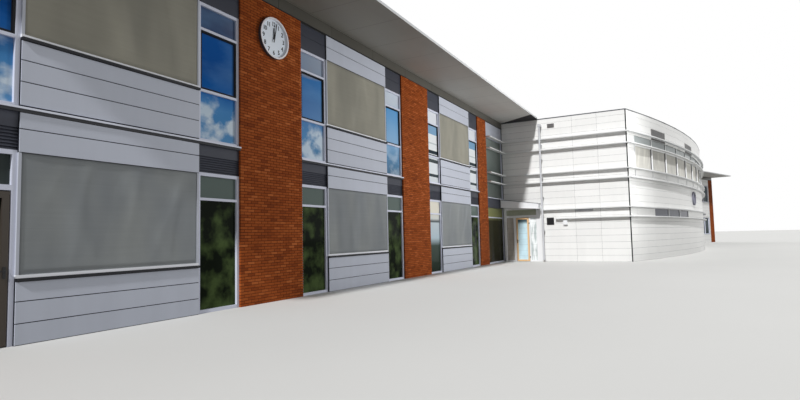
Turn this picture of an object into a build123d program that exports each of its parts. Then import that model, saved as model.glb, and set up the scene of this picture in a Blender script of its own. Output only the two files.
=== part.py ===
from build123d import *
import os
from math import cos, radians, sin, tan

# A two-storey childcare centre, modelled at half its real size. All lengths are millimetres of
# the model. X runs along the long wing, Y into the building and Z up. The origin lies under the
# ground floor, on the wing's centre line, where the first boarded panel begins.

# Levels
storey = 1800
ground_slab = 20
floor_slab = 120
band_bottom = 3655
soffit_level = 3828
parapet_level = 3805

# Long wing, in plan
wing_depth = 5000
wall = 150
bay_count = 3
panel_width = 1695
column_width = 580
pier_width = 1095
corner_pier_width = 622
glass_bay_width = 1357

# Boarded panels with their wide windows
lower_sill = 497
lower_panel_head = 1449
upper_sill = 2345
upper_panel_head = 3297
board_recess = 6
panel_jamb = 45
window_frame_depth = 60
window_recess = 50
frame_face = 35
glass_thickness = 8
string_height = 16
string_depth = 22
drip_height = 24
drip_depth = 10
sill_height = 24
sill_projection = 18

# Roller sunscreens
screen_thickness = 10
guide_width = 22
guide_depth = 26
bottom_bar_height = 24

# Window columns beside the piers
column_recess = 24
lower_window_head = 1465
upper_window_sill = 1791
upper_window_head = 3300
lower_transom = 1185
upper_transom = 3010
upper_rail = 2343
rail_face = 28
dark_panel_depth = 50
louvre_head = 1640
louvre_count = 7
louvre_depth = 14

# Glass bay beside the corner
bay_window_head = 1437
bay_glass_sill = 1700
bay_glass_head = 3250

# Roof of the wing
eave_overhang = 1010
eave_edge = 40
roof_rise = 200
roof_end_overhang = 120

# Doors: the garden door stands in the first window column
door_gap = 9
door_threshold = 8
door_thickness = 46
door_stile = 50
hinge_radius = 7
hinge_facets = 12
hinge_inset = 90
knuckle_height = 40
hinge_plate_width = 20
hinge_plate_thickness = 3
handle_height = 545
handle_plate = (20, 90)
handle_plate_thickness = 5
handle_corner = 4
lever_drop = 12
lever_neck = 9
lever_standoff = 18
lever_length = 60
lever_height = 10
lever_thickness = 6

# Clock on the first full pier
clock_height = 3236
clock_radius = 255
clock_depth = 44
clock_rim = 20
dial_recess = 26
hand_thickness = 4
hand_gap = 5
minute_length = 200
minute_tail = 52
minute_width = 12
hour_length = 132
hour_width = 16
arbor_radius = 5
sleeve_radius = 9
hub_margin = 5
sleeve_end_gap = 2
running_clearance = 0.05
clock_minutes = 2
degrees_per_minute = 6
minutes_per_hour_degree = 2

# Curved block
end_wall_reach = 3203
block_back = 3700
arc_radius = 31400
arc_start = 19.5
arc_end = 13.5
block_roof_level = 3600
coping_height = 22
coping_overhang = 12
coping_joint = 3

# Sun slats round the block, in three pairs
slat_levels = (3242, 2948, 2318, 2082, 1352, 1110)
slat_height = 26
slat_reach = 95
slat_gap = 20
slat_joint = 3
slat_post_width = 24
bracket_width = 14
seat_clearance = 0.3
bracket_inset = 160
bracket_pitch = 1000
straight_bracket_count = 4

# Grid of the curved wall, in degrees from its crown
grid_start = -18.75
grid_angle = 2.06
light_count = 15
segment_cells = 3

# Upper window band of the block: screened lights with clear lights over them
band_window_sill = 2350
band_window_head = 3190
band_screen_head = 2925
band_cassette_height = 56
band_cassette_depth = 52
band_post_width = 46
band_glass_depth = 60
clear_glass_depth = 16
band_screen_depth = 24

# Lower clerestory of the block
clerestory_sill = 1138
clerestory_head = 1340
clerestory_cells = (1, 2, 3, 8, 9, 10)

# Porthole in the curved wall
porthole_angle = -8.7
porthole_height = 1780
porthole_radius = 225
porthole_rim = 36
porthole_projection = 60
porthole_facets = 40

# Louvre vents high in the curved wall
curved_vent_cells = (1, 4)
curved_vent_depth = 12
curved_vent_sill = 3195
curved_vent_head = 3500

# Plain windows in the block's unseen back
back_window_width = 1600
back_window_count = 6

# Entrance in the block's end wall, from the inner corner outwards
entrance_inner_post = 25
entrance_sidelight = 215
entrance_door_post = 65
entrance_door_width = 360
entrance_outer_light = 200
entrance_corner_post = 145
entrance_head = 1460
entrance_door_head = 1185
entrance_rail = 58
entrance_transom = 150
entrance_recess = 30
entrance_stile = 42
canopy_reach = 300
canopy_inner_height = 220
canopy_outer_height = 140
canopy_fall = 65

# Far wing, turned away from the long one
far_turn = 20
far_length = 5000
far_depth = 4000
far_pier_width = 640
far_window_width = 1300
far_window_count = 3

# Small fittings on the end wall
pipe_radius = 25
pipe_facets = 16
pipe_reach = 1074
pipe_shoe = 40
pipe_top = 3585
pipe_clip_levels = (3085, 2700, 2200, 1700, 800)
pipe_clip_width = 66
pipe_clip_height = 14
hopper_width = 80
hopper_height = 66
plate_size = 188
plate_reach = 1248
plate_level = 1059
plate_thickness = 16
plate_margin = 60
lamp_reach = 1637
lamp_level = 1018
lamp_width = 105
lamp_height = 125
lamp_depth = 60
high_vent_reach = 1352
high_vent_level = 3605
high_vent_size = (180, 110)
low_vent_reach = 2110
low_vent_level = 1322
low_vent_size = (446, 56)
vent_depth = 14

# Places that follow from the sizes above
facade = -wing_depth / 2
inner_face = facade + wall
bay = panel_width + 2 * column_width + pier_width
panel_starts = [index * bay for index in range(bay_count)]
panel_windows = ((lower_sill, lower_panel_head), (upper_sill, upper_panel_head))
column_starts = [start - column_width for start in panel_starts]
column_starts += [start + panel_width for start in panel_starts]
pier_starts = [start - column_width - pier_width for start in panel_starts]
wing_left = pier_starts[0]
corner_pier_start = panel_starts[-1] + panel_width + column_width
glass_bay_start = corner_pier_start + corner_pier_width
wing_right = glass_bay_start + glass_bay_width
end_wall_face = wing_right
end_wall_inside = end_wall_face + wall
block_front = facade - end_wall_reach
arc_centre_x = end_wall_face + arc_radius * sin(radians(arc_start))
arc_centre_y = block_front + arc_radius * cos(radians(arc_start))
inner_radius = arc_radius - wall


def elevation(y):
    """Upright plane facing the garden: local x is X, local y is Z."""
    return Plane(origin=(0, y, 0), x_dir=(1, 0, 0), z_dir=(0, -1, 0))


def side_elevation(x):
    """Upright plane facing the long wing: local x is -Y, local y is Z."""
    return Plane(origin=(x, 0, 0), x_dir=(0, -1, 0), z_dir=(-1, 0, 0))


def radial_plane(angle, radius):
    """Upright plane that touches the curved wall at an angle from its crown."""
    turn = radians(angle)
    origin = (arc_centre_x + radius * sin(turn), arc_centre_y - radius * cos(turn), 0)
    return Plane(origin=origin, x_dir=(cos(turn), sin(turn), 0), z_dir=(sin(turn), -cos(turn), 0))


def arc_point(angle, radius):
    turn = radians(angle)
    return (arc_centre_x + radius * sin(turn), arc_centre_y - radius * cos(turn))


def corner_point(offset):
    """Corner of the end wall and the curved wall, with both moved out by an offset."""
    x = end_wall_face - offset
    y = arc_centre_y - ((arc_radius + offset) ** 2 - (x - arc_centre_x) ** 2) ** 0.5
    return (x, y)


def area(left, right, bottom, top, mode=Mode.ADD):
    """Rectangle between two pairs of lines, inside the running sketch."""
    with Locations(((left + right) / 2, (bottom + top) / 2)):
        Rectangle(right - left, top - bottom, mode=mode)


def straight_ring(angles, outer, inner):
    """Outline that follows the curved wall in straight runs, inside a line builder."""
    points = [arc_point(angle, outer) for angle in angles]
    points += [arc_point(angle, inner) for angle in reversed(angles)]
    Polyline(*points, close=True)


def ring_sector(from_angle, to_angle, outer, inner):
    """Closed outline between two arcs about the curved wall's centre, inside a line builder."""
    middle = (from_angle + to_angle) / 2
    ThreePointArc(arc_point(from_angle, outer), arc_point(middle, outer), arc_point(to_angle, outer))
    Line(arc_point(to_angle, outer), arc_point(to_angle, inner))
    ThreePointArc(arc_point(to_angle, inner), arc_point(middle, inner), arc_point(from_angle, inner))
    Line(arc_point(from_angle, inner), arc_point(from_angle, outer))


os.makedirs("parts", exist_ok=True)

# Far wing's own axes: along its facade and into it
far_origin = arc_point(arc_end, arc_radius)
far_along = (cos(radians(far_turn)), -sin(radians(far_turn)))
far_inward = (sin(radians(far_turn)), cos(radians(far_turn)))


def far_point(along, inward):
    return (
        far_origin[0] + along * far_along[0] + inward * far_inward[0],
        far_origin[1] + along * far_along[1] + inward * far_inward[1],
    )


def far_elevation(inward):
    """Upright plane along the far wing's facade."""
    x, y = far_point(0, inward)
    return Plane(
        origin=(x, y, 0),
        x_dir=(far_along[0], far_along[1], 0),
        z_dir=(-far_inward[0], -far_inward[1], 0),
    )


def far_plan(level):
    """Level plane with the far wing's axes: local x along its facade, local y into it."""
    return Plane(
        origin=(far_origin[0], far_origin[1], level),
        x_dir=(far_along[0], far_along[1], 0),
        z_dir=(0, 0, 1),
    )


far_wall_length = far_length - far_pier_width
far_margin = (far_wall_length - far_window_count * far_window_width) / (far_window_count + 1)
far_windows = [
    (far_margin + index * (far_window_width + far_margin), sill, head)
    for index in range(far_window_count)
    for sill, head in ((lower_sill, lower_panel_head), (upper_sill, upper_panel_head))
]

# Flying roof, thin at both eaves
with BuildPart() as wing_roof:
    with BuildSketch(side_elevation(wing_left - roof_end_overhang)):
        with BuildLine():
            eave = -facade + eave_overhang
            Polyline(
                (-eave, soffit_level),
                (eave, soffit_level),
                (eave, soffit_level + eave_edge),
                (-facade, soffit_level + roof_rise),
                (facade, soffit_level + roof_rise),
                (-eave, soffit_level + eave_edge),
                close=True,
            )
        make_face()
    extrude(amount=-(wing_right - wing_left + roof_end_overhang))
wing_roof.part.label = "wing_roof"
export_step(wing_roof.part, "parts/wing_roof.step")

# Dark fascia band under the soffit, front and back
with BuildPart() as fascia_band:
    with BuildSketch(elevation(facade)):
        area(wing_left, wing_right, band_bottom, soffit_level)
    extrude(amount=-wall)
    mirror(about=Plane.XZ)
    with BuildSketch(far_elevation(0)):
        area(0, far_length, band_bottom, soffit_level)
    extrude(amount=-wall)
fascia_band.part.label = "fascia_band"
export_step(fascia_band.part, "parts/fascia_band.step")

# Brick piers, front and back
with BuildPart() as brick_piers:
    with BuildSketch(elevation(facade)):
        for start in pier_starts:
            area(start, start + pier_width, 0, band_bottom)
        area(corner_pier_start, corner_pier_start + corner_pier_width, 0, band_bottom)
    extrude(amount=-wall)
    mirror(about=Plane.XZ)
    with BuildSketch(far_elevation(0)):
        area(far_wall_length, far_length, 0, band_bottom)
    extrude(amount=-wall)
brick_piers.part.label = "brick_piers"
export_step(brick_piers.part, "parts/brick_piers.step")

# White boarded panels. Each has a wide window on both storeys, with a rebate for the sunscreen and
# a notch for the sill from edge to edge.
with BuildPart() as boarded_panels:
    with BuildSketch(elevation(facade + board_recess)):
        for start in panel_starts:
            area(start, start + panel_width, 0, band_bottom)
            for sill, head in panel_windows:
                left, right = start + panel_jamb, start + panel_width - panel_jamb
                area(left, right, sill, head, Mode.SUBTRACT)
    extrude(amount=-(wall - board_recess))
    with BuildSketch(elevation(facade + board_recess)):
        for start in panel_starts:
            for sill, head in panel_windows:
                area(start, start + panel_width, sill, head)
    extrude(amount=-guide_depth, mode=Mode.SUBTRACT)
    with BuildSketch(elevation(facade)):
        for start in panel_starts:
            for sill, head in panel_windows:
                area(start, start + panel_width, sill - sill_height, sill)
    extrude(amount=-window_recess, mode=Mode.SUBTRACT)
    mirror(about=Plane.XZ)
boarded_panels.part.label = "boarded_panels"
export_step(boarded_panels.part, "parts/boarded_panels.step")

# Frames of the wide windows behind the sunscreens, and the sills in front of them
with BuildPart() as wide_window_frames:
    with BuildSketch(elevation(facade + window_recess)):
        for start in panel_starts:
            left, right = start + panel_jamb, start + panel_width - panel_jamb
            middle = (left + right) / 2
            for sill, head in panel_windows:
                area(left, right, sill, head)
                bottom, top = sill + frame_face, head - frame_face
                area(left + frame_face, middle - frame_face / 2, bottom, top, Mode.SUBTRACT)
                area(middle + frame_face / 2, right - frame_face, bottom, top, Mode.SUBTRACT)
    extrude(amount=-window_frame_depth)
    with BuildSketch(elevation(facade - sill_projection)):
        for start in panel_starts:
            for sill, head in panel_windows:
                area(start, start + panel_width, sill - sill_height, sill - seat_clearance)
    extrude(amount=-(sill_projection + window_recess))
    mirror(about=Plane.XZ)
wide_window_frames.part.label = "wide_window_frames"
export_step(wide_window_frames.part, "parts/wide_window_frames.step")

# Glass of the wide windows
with BuildPart() as wide_window_glass:
    glass_face = facade + window_recess + (window_frame_depth - glass_thickness) / 2
    with BuildSketch(elevation(glass_face)):
        for start in panel_starts:
            left, right = start + panel_jamb, start + panel_width - panel_jamb
            middle = (left + right) / 2
            for sill, head in panel_windows:
                bottom, top = sill + frame_face, head - frame_face
                area(left + frame_face, middle - frame_face / 2, bottom, top)
                area(middle + frame_face / 2, right - frame_face, bottom, top)
    extrude(amount=-glass_thickness)
    mirror(about=Plane.XZ)
wide_window_glass.part.label = "wide_window_glass"
export_step(wide_window_glass.part, "parts/wide_window_glass.step")

# Sunscreens, drawn down in front of the wide windows
for name, (sill, head) in zip(("lower_sunscreens", "upper_sunscreens"), panel_windows):
    with BuildPart() as sunscreens:
        with BuildSketch(elevation(facade + board_recess)):
            for start in panel_starts:
                left, right = start + guide_width, start + panel_width - guide_width
                area(left, right, sill + bottom_bar_height, head)
        extrude(amount=-screen_thickness)
        mirror(about=Plane.XZ)
    sunscreens.part.label = name
    export_step(sunscreens.part, f"parts/{name}.step")

# Side guides and bottom bars of the sunscreens
with BuildPart() as screen_guides:
    with BuildSketch(elevation(facade + board_recess)):
        for start in panel_starts:
            left, right = start, start + panel_width
            for sill, head in panel_windows:
                area(left, left + guide_width, sill, head)
                area(right - guide_width, right, sill, head)
                area(left + guide_width, right - guide_width, sill, sill + bottom_bar_height)
    extrude(amount=-guide_depth)
    mirror(about=Plane.XZ)
screen_guides.part.label = "screen_guides"
export_step(screen_guides.part, "parts/screen_guides.step")

# String course at the first floor, from pier to pier: a nosing over a drip that is set back. The
# sill of the glass bay lines up with its columns.
with BuildPart() as string_course:
    for bottom, top, depth in (
        (storey - string_height, storey, string_depth),
        (storey - string_height - drip_height, storey - string_height, drip_depth),
    ):
        with BuildSketch(elevation(facade + board_recess)):
            for start in panel_starts:
                area(start - column_width, start + panel_width + column_width, bottom, top)
        extrude(amount=depth)
    with BuildSketch(elevation(facade + column_recess)):
        area(glass_bay_start, wing_right, bay_glass_sill - string_height, bay_glass_sill)
    extrude(amount=string_depth + column_recess - board_recess)
    mirror(about=Plane.XZ)
string_course.part.label = "string_course"
export_step(string_course.part, "parts/string_course.step")

# Windows of the glass bay beside the corner: a low one with a transom and a tall one
bay_windows = (
    (frame_face, lower_transom - rail_face / 2),
    (lower_transom + rail_face / 2, bay_window_head),
    (bay_glass_sill, bay_glass_head),
)

# Frames of the window columns. The first one on the garden side holds the garden door.
door_left = column_starts[0] + frame_face
door_right = column_starts[0] + column_width - frame_face
door_head = lower_transom - rail_face


def column_openings(start, with_door):
    """Panes of one window column as (left, right, bottom, top)."""
    left, right = start + frame_face, start + column_width - frame_face
    foot = 0 if with_door else frame_face
    lower_top = door_head if with_door else lower_transom - rail_face / 2
    upper_start = lower_transom + rail_face / 2
    return (
        (left, right, foot, lower_top),
        (left, right, upper_start, lower_window_head - frame_face),
        (left, right, upper_window_sill + frame_face, upper_rail - rail_face / 2),
        (left, right, upper_rail + rail_face / 2, upper_transom - rail_face / 2),
        (left, right, upper_transom + rail_face / 2, upper_window_head - frame_face),
    )


def column_frame_outline(start, lower):
    """Frames of one column; the lower one is left out where a door frame stands."""
    area(start, start + column_width, upper_window_sill, upper_window_head)
    if lower:
        area(start, start + column_width, 0, lower_window_head)
    for pane in column_openings(start, False)[0 if lower else 2:]:
        area(*pane, Mode.SUBTRACT)


with BuildPart() as garden_door_frame:
    with BuildSketch(elevation(facade + column_recess)):
        start = column_starts[0]
        area(start, start + column_width, 0, lower_window_head)
        for pane in column_openings(start, True)[:2]:
            area(*pane, Mode.SUBTRACT)
    extrude(amount=-window_frame_depth)
garden_door_frame.part.label = "garden_door_frame"
export_step(garden_door_frame.part, "parts/garden_door_frame.step")

with BuildPart() as column_frames:
    with BuildSketch(elevation(facade + column_recess)):
        for start in column_starts:
            column_frame_outline(start, lower=start != column_starts[0])
    extrude(amount=-window_frame_depth)
    with BuildSketch(elevation(-facade - column_recess)):
        for start in column_starts:
            column_frame_outline(start, lower=True)
    extrude(amount=window_frame_depth)
column_frames.part.label = "column_frames"
export_step(column_frames.part, "parts/column_frames.step")

# Glass of the window columns
with BuildPart() as column_glass:
    pane_inset = (window_frame_depth - glass_thickness) / 2
    with BuildSketch(elevation(facade + column_recess + pane_inset)):
        for start in column_starts:
            panes = column_openings(start, start == column_starts[0])
            for pane in panes[1:] if start == column_starts[0] else panes:
                area(*pane)
    extrude(amount=-glass_thickness)
    with BuildSketch(elevation(-facade - column_recess - pane_inset)):
        for start in column_starts:
            for pane in column_openings(start, False):
                area(*pane)
    extrude(amount=glass_thickness)
    for side in (facade + window_recess, -facade - window_recess - glass_thickness):
        with BuildSketch(elevation(side)):
            for sill, head in bay_windows:
                area(glass_bay_start + frame_face, wing_right - frame_face, sill, head)
        extrude(amount=-glass_thickness)
column_glass.part.label = "column_glass"
export_step(column_glass.part, "parts/column_glass.step")

# Dark panels between and above the column windows, with louvre blades over the garden side's
# lower ones
louvre_front = -facade - column_recess
louvre_back = louvre_front - dark_panel_depth
louvre_pitch = (louvre_head - lower_window_head) / louvre_count
with BuildPart() as dark_panels:
    with BuildSketch(elevation(facade + column_recess)):
        for start in column_starts:
            area(start, start + column_width, louvre_head, upper_window_sill)
            area(start, start + column_width, upper_window_head, band_bottom)
        area(glass_bay_start + frame_face, wing_right - frame_face, bay_window_head, bay_glass_sill)
    extrude(amount=-dark_panel_depth)
    mirror(about=Plane.XZ)
    with BuildSketch(elevation(-facade - column_recess)):
        for start in column_starts:
            area(start, start + column_width, lower_window_head, louvre_head)
    extrude(amount=dark_panel_depth)
    for start in column_starts:
        with BuildSketch(side_elevation(start)):
            with BuildLine():
                blades = [(louvre_back, lower_window_head)]
                for blade in range(louvre_count):
                    foot = lower_window_head + blade * louvre_pitch
                    blades.append((louvre_front, foot))
                    blades.append((louvre_front - louvre_depth, foot + louvre_pitch))
                Polyline(*blades, (louvre_back, louvre_head), close=True)
            make_face()
        extrude(amount=-column_width)
dark_panels.part.label = "dark_panels"
export_step(dark_panels.part, "parts/dark_panels.step")

# Glass bay beside the corner: boards above, and the frame round its windows and dark panel
with BuildPart() as glass_bay_wall:
    with BuildSketch(elevation(facade + column_recess)):
        area(glass_bay_start, wing_right, 0, band_bottom)
        for sill, head in (*bay_windows, (bay_window_head, bay_glass_sill)):
            area(glass_bay_start + frame_face, wing_right - frame_face, sill, head, Mode.SUBTRACT)
    extrude(amount=-(wall - column_recess))
    mirror(about=Plane.XZ)
glass_bay_wall.part.label = "glass_bay_wall"
export_step(glass_bay_wall.part, "parts/glass_bay_wall.step")

# Gable wall at the wing's free end
with BuildPart() as gable_wall:
    with BuildSketch(Plane.XY):
        area(wing_left, wing_left + wall, inner_face, -inner_face)
    extrude(amount=soffit_level)
gable_wall.part.label = "gable_wall"
export_step(gable_wall.part, "parts/gable_wall.step")

# Garden door leaf, a glazed frame hung by the pier on two lift-off hinges
leaf_left = door_left + door_gap
leaf_right = door_right - door_gap
leaf_top = door_head - door_gap
leaf_face = facade + column_recess
garden_axis = (leaf_left - door_gap / 2, leaf_face - hinge_radius)
garden_hinge_levels = (
    door_threshold + hinge_inset,
    leaf_top - hinge_inset - 2 * knuckle_height,
)
with BuildPart() as garden_door_leaf:
    with BuildSketch(elevation(leaf_face)):
        area(leaf_left, leaf_right, door_threshold, leaf_top)
        area(
            leaf_left + door_stile,
            leaf_right - door_stile,
            door_threshold + door_stile,
            leaf_top - door_stile,
            Mode.SUBTRACT,
        )
    extrude(amount=-door_thickness)
    for level in garden_hinge_levels:
        with BuildSketch(Plane.XY.offset(level + knuckle_height + seat_clearance)):
            with Locations(garden_axis):
                RegularPolygon(hinge_radius, hinge_facets)
            plate_front = leaf_face - seat_clearance - hinge_plate_thickness
            area(garden_axis[0], garden_axis[0] + hinge_plate_width, plate_front, leaf_face - seat_clearance)
        extrude(amount=knuckle_height)
garden_door_leaf.part.label = "garden_door_leaf"
export_step(garden_door_leaf.part, "parts/garden_door_leaf.step")

with BuildPart() as garden_door_glass:
    with BuildSketch(elevation(leaf_face + (door_thickness - glass_thickness) / 2)):
        area(
            leaf_left + door_stile,
            leaf_right - door_stile,
            door_threshold + door_stile,
            leaf_top - door_stile,
        )
    extrude(amount=-glass_thickness)
garden_door_glass.part.label = "garden_door_glass"
export_step(garden_door_glass.part, "parts/garden_door_glass.step")

# Clock case, a shallow drum with a raised rim and a bore for the hands
clock_x = pier_starts[1] + pier_width / 2
with BuildPart() as clock_case:
    with BuildSketch(elevation(facade)):
        with Locations((clock_x, clock_height)):
            Circle(clock_radius)
    extrude(amount=clock_depth)
    with BuildSketch(elevation(facade - clock_depth)):
        with Locations((clock_x, clock_height)):
            Circle(clock_radius - clock_rim)
    extrude(amount=-dial_recess, mode=Mode.SUBTRACT)
    with BuildSketch(elevation(facade)):
        with Locations((clock_x, clock_height)):
            Circle(sleeve_radius + running_clearance)
    extrude(amount=clock_depth, mode=Mode.SUBTRACT)
clock_case.part.label = "clock_case"
export_step(clock_case.part, "parts/clock_case.step")

dial_face = facade - clock_depth + dial_recess
hour_back = dial_face - hand_gap
minute_back = hour_back - hand_thickness - hand_gap
minute_angle = clock_minutes * degrees_per_minute
hour_angle = clock_minutes / minutes_per_hour_degree
sleeve_length = clock_depth - dial_recess - sleeve_end_gap


def hand_plane(y, clockwise):
    """Plane at the clock's centre whose local y points along a hand."""
    turn = radians(clockwise)
    return Plane(
        origin=(clock_x, y, clock_height),
        x_dir=(cos(turn), 0, -sin(turn)),
        z_dir=(0, -1, 0),
    )


with BuildPart() as hour_hand:
    with BuildSketch(hand_plane(hour_back, hour_angle)):
        with Locations((0, hour_length / 2)):
            Rectangle(hour_width, hour_length)
        Circle(sleeve_radius + hub_margin)
    extrude(amount=hand_thickness)
    with BuildSketch(hand_plane(hour_back, 0)):
        Circle(sleeve_radius)
    extrude(amount=-(hand_gap + sleeve_length))
    with BuildSketch(hand_plane(hour_back - hand_thickness, 0)):
        Circle(arbor_radius + running_clearance)
    extrude(amount=-(hand_thickness + hand_gap + sleeve_length), mode=Mode.SUBTRACT)
hour_hand.part.label = "hour_hand"
export_step(hour_hand.part, "parts/hour_hand.step")

with BuildPart() as minute_hand:
    with BuildSketch(hand_plane(minute_back, minute_angle)):
        with Locations((0, (minute_length - minute_tail) / 2)):
            Rectangle(minute_width, minute_length + minute_tail)
        Circle(sleeve_radius)
    extrude(amount=hand_thickness)
    with BuildSketch(hand_plane(minute_back, 0)):
        Circle(arbor_radius)
    extrude(amount=-(2 * hand_gap + hand_thickness + sleeve_length))
minute_hand.part.label = "minute_hand"
export_step(minute_hand.part, "parts/minute_hand.step")

# Floors of all three parts and the block's roof deck. The last wall stands square to the far wing.
def arc_crossing(point, direction):
    """Where a line through a point first meets the curved wall's inner face."""
    x, y = point[0] - arc_centre_x, point[1] - arc_centre_y
    along = x * direction[0] + y * direction[1]
    across = x * x + y * y - along * along
    step = -along - (inner_radius**2 - across) ** 0.5
    return (point[0] + step * direction[0], point[1] + step * direction[1])


def back_crossing(point, level):
    """Where a line square to the far wing reaches a line parallel to the back wall."""
    step = (level - point[1]) / far_inward[1]
    return (point[0] + step * far_inward[0], level)


front_inner = corner_point(-wall)
last_inner = arc_crossing(far_point(-wall, 0), far_inward)
back_inner = back_crossing(last_inner, block_back - wall)
back_outer = back_crossing(far_origin, block_back)
front_outer = (end_wall_face, block_front)
middle_angle = (arc_end - arc_start) / 2

for name, level, thickness in (
    ("ground_slabs", 0, ground_slab),
    ("first_floors", storey - floor_slab, floor_slab),
    ("block_roof", block_roof_level, floor_slab),
):
    with BuildPart() as slabs:
        with BuildSketch(Plane.XY.offset(level)):
            with BuildLine():
                ThreePointArc(front_inner, arc_point(middle_angle, inner_radius), last_inner)
                Polyline(last_inner, back_inner, (end_wall_inside, block_back - wall), front_inner)
            make_face()
            if level < block_roof_level:
                area(wing_left + wall, wing_right, inner_face, -inner_face)
        extrude(amount=thickness)
        if level < block_roof_level:
            with BuildSketch(far_plan(level)):
                area(0, far_length - wall, wall, far_depth - wall)
            extrude(amount=thickness)
    slabs.part.label = name
    export_step(slabs.part, f"parts/{name}.step")

# End wall of the block, split beside and over the entrance
entrance_width = (
    entrance_inner_post
    + entrance_sidelight
    + entrance_door_post
    + entrance_door_width
    + entrance_outer_light
    + entrance_corner_post
)
entrance_edge = facade - entrance_width
with BuildPart() as end_wall:
    with BuildSketch(Plane.XY):
        with BuildLine():
            Polyline(
                front_outer,
                front_inner,
                (end_wall_inside, entrance_edge),
                (end_wall_face, entrance_edge),
                close=True,
            )
        make_face()
    extrude(amount=parapet_level)
end_wall.part.label = "end_wall"
export_step(end_wall.part, "parts/end_wall.step")

with BuildPart() as end_wall_over_entrance:
    with BuildSketch(Plane.XY.offset(entrance_head)):
        area(end_wall_face, end_wall_inside, entrance_edge, facade)
    extrude(amount=parapet_level - entrance_head)
end_wall_over_entrance.part.label = "end_wall_over_entrance"
export_step(end_wall_over_entrance.part, "parts/end_wall_over_entrance.step")

with BuildPart() as party_wall:
    with BuildSketch(Plane.XY):
        area(end_wall_face, end_wall_inside, facade, block_back - wall)
    extrude(amount=parapet_level)
party_wall.part.label = "party_wall"
export_step(party_wall.part, "parts/party_wall.step")

# Grid of the curved wall: every post, light and vent stands on it
light_starts = [grid_start + index * grid_angle for index in range(light_count)]
post_half_angle = band_post_width / 2 / radians(1) / arc_radius
clerestory_starts = [light_starts[index] for index in clerestory_cells]
segment_starts = [light_starts[index] for index in range(0, light_count - 1, segment_cells)]
segment_ends = segment_starts[1:] + [arc_end]


def light_sectors(starts, outer, inner, margin):
    """One arc-shaped face for each light of a window band, inside the running sketch."""
    for start in starts:
        with BuildLine() as outline:
            ring_sector(start + margin, start + grid_angle - margin, outer, inner)
        make_face(outline.edges())


# Curved wall in segments, with its window band, clerestory and porthole cut through
for index, (first, last) in enumerate(zip(segment_starts, segment_ends)):
    reach = (first - post_half_angle, last - grid_angle / 2)
    lights = [start for start in light_starts if reach[0] < start < reach[1]]
    low_lights = [start for start in clerestory_starts if start in lights]
    with BuildPart() as curved_wall:
        with BuildSketch(Plane.XY):
            with BuildLine():
                if index == 0:
                    first = (first - arc_start) / 2
                    ThreePointArc(front_outer, arc_point(first, arc_radius), arc_point(last, arc_radius))
                    Line(arc_point(last, arc_radius), arc_point(last, inner_radius))
                    bend = arc_point(first, inner_radius)
                    ThreePointArc(arc_point(last, inner_radius), bend, front_inner)
                    Line(front_inner, front_outer)
                elif last == arc_end:
                    middle = (first + last) / 2
                    bend = arc_point(middle, arc_radius)
                    ThreePointArc(arc_point(first, arc_radius), bend, far_origin)
                    Line(far_origin, last_inner)
                    bend = arc_point(middle, inner_radius)
                    ThreePointArc(last_inner, bend, arc_point(first, inner_radius))
                    Line(arc_point(first, inner_radius), arc_point(first, arc_radius))
                else:
                    ring_sector(first, last, arc_radius, inner_radius)
            make_face()
        extrude(amount=parapet_level)
        with BuildSketch(Plane.XY.offset(band_window_sill)):
            light_sectors(lights, arc_radius + wall, inner_radius - wall, post_half_angle)
        extrude(amount=band_window_head - band_window_sill, mode=Mode.SUBTRACT)
        if low_lights:
            with BuildSketch(Plane.XY.offset(clerestory_sill)):
                light_sectors(low_lights, arc_radius + wall, inner_radius - wall, post_half_angle)
            extrude(amount=clerestory_head - clerestory_sill, mode=Mode.SUBTRACT)
        if segment_starts[index] < porthole_angle < last:
            with BuildSketch(radial_plane(porthole_angle, arc_radius + wall)):
                with Locations((0, porthole_height)):
                    RegularPolygon(porthole_radius, porthole_facets)
            extrude(amount=-3 * wall, mode=Mode.SUBTRACT)
    curved_wall.part.label = f"curved_wall_{index + 1}"
    export_step(curved_wall.part, f"parts/curved_wall_{index + 1}.step")

# Flat panes of the window band, deep behind the screens and near the face in the clear lights
# over them, and panes of the clerestory and of the back windows
light_spread = tan(radians(grid_angle / 2 - post_half_angle))
block_back_length = back_inner[0] - end_wall_inside
back_margin = (block_back_length - back_window_count * back_window_width) / (back_window_count + 1)
back_windows = [
    (end_wall_inside + back_margin + index * (back_window_width + back_margin), sill, head)
    for index in range(back_window_count)
    for sill, head in ((lower_sill, lower_panel_head), (upper_sill, upper_panel_head))
]
band_cassette_top = band_screen_head + band_cassette_height
with BuildPart() as block_glass:
    for starts, sill, head, depth in (
        (light_starts, band_window_sill, band_cassette_top, band_glass_depth),
        (light_starts, band_cassette_top, band_window_head, clear_glass_depth),
        (clerestory_starts, clerestory_sill, clerestory_head, clear_glass_depth),
    ):
        outer = arc_radius - depth
        half_width = (outer - glass_thickness) * light_spread
        for start in starts:
            with BuildSketch(radial_plane(start + grid_angle / 2, outer)):
                area(-half_width, half_width, sill, head)
            extrude(amount=-glass_thickness)
    with BuildSketch(radial_plane(porthole_angle, arc_radius - band_glass_depth)):
        with Locations((0, porthole_height)):
            RegularPolygon(porthole_radius - porthole_rim, porthole_facets)
    extrude(amount=-glass_thickness)
    with BuildSketch(elevation(block_back - window_recess)):
        for left, sill, head in back_windows:
            area(left, left + back_window_width, sill, head)
    extrude(amount=glass_thickness)
block_glass.part.label = "block_glass"
export_step(block_glass.part, "parts/block_glass.step")

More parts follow.
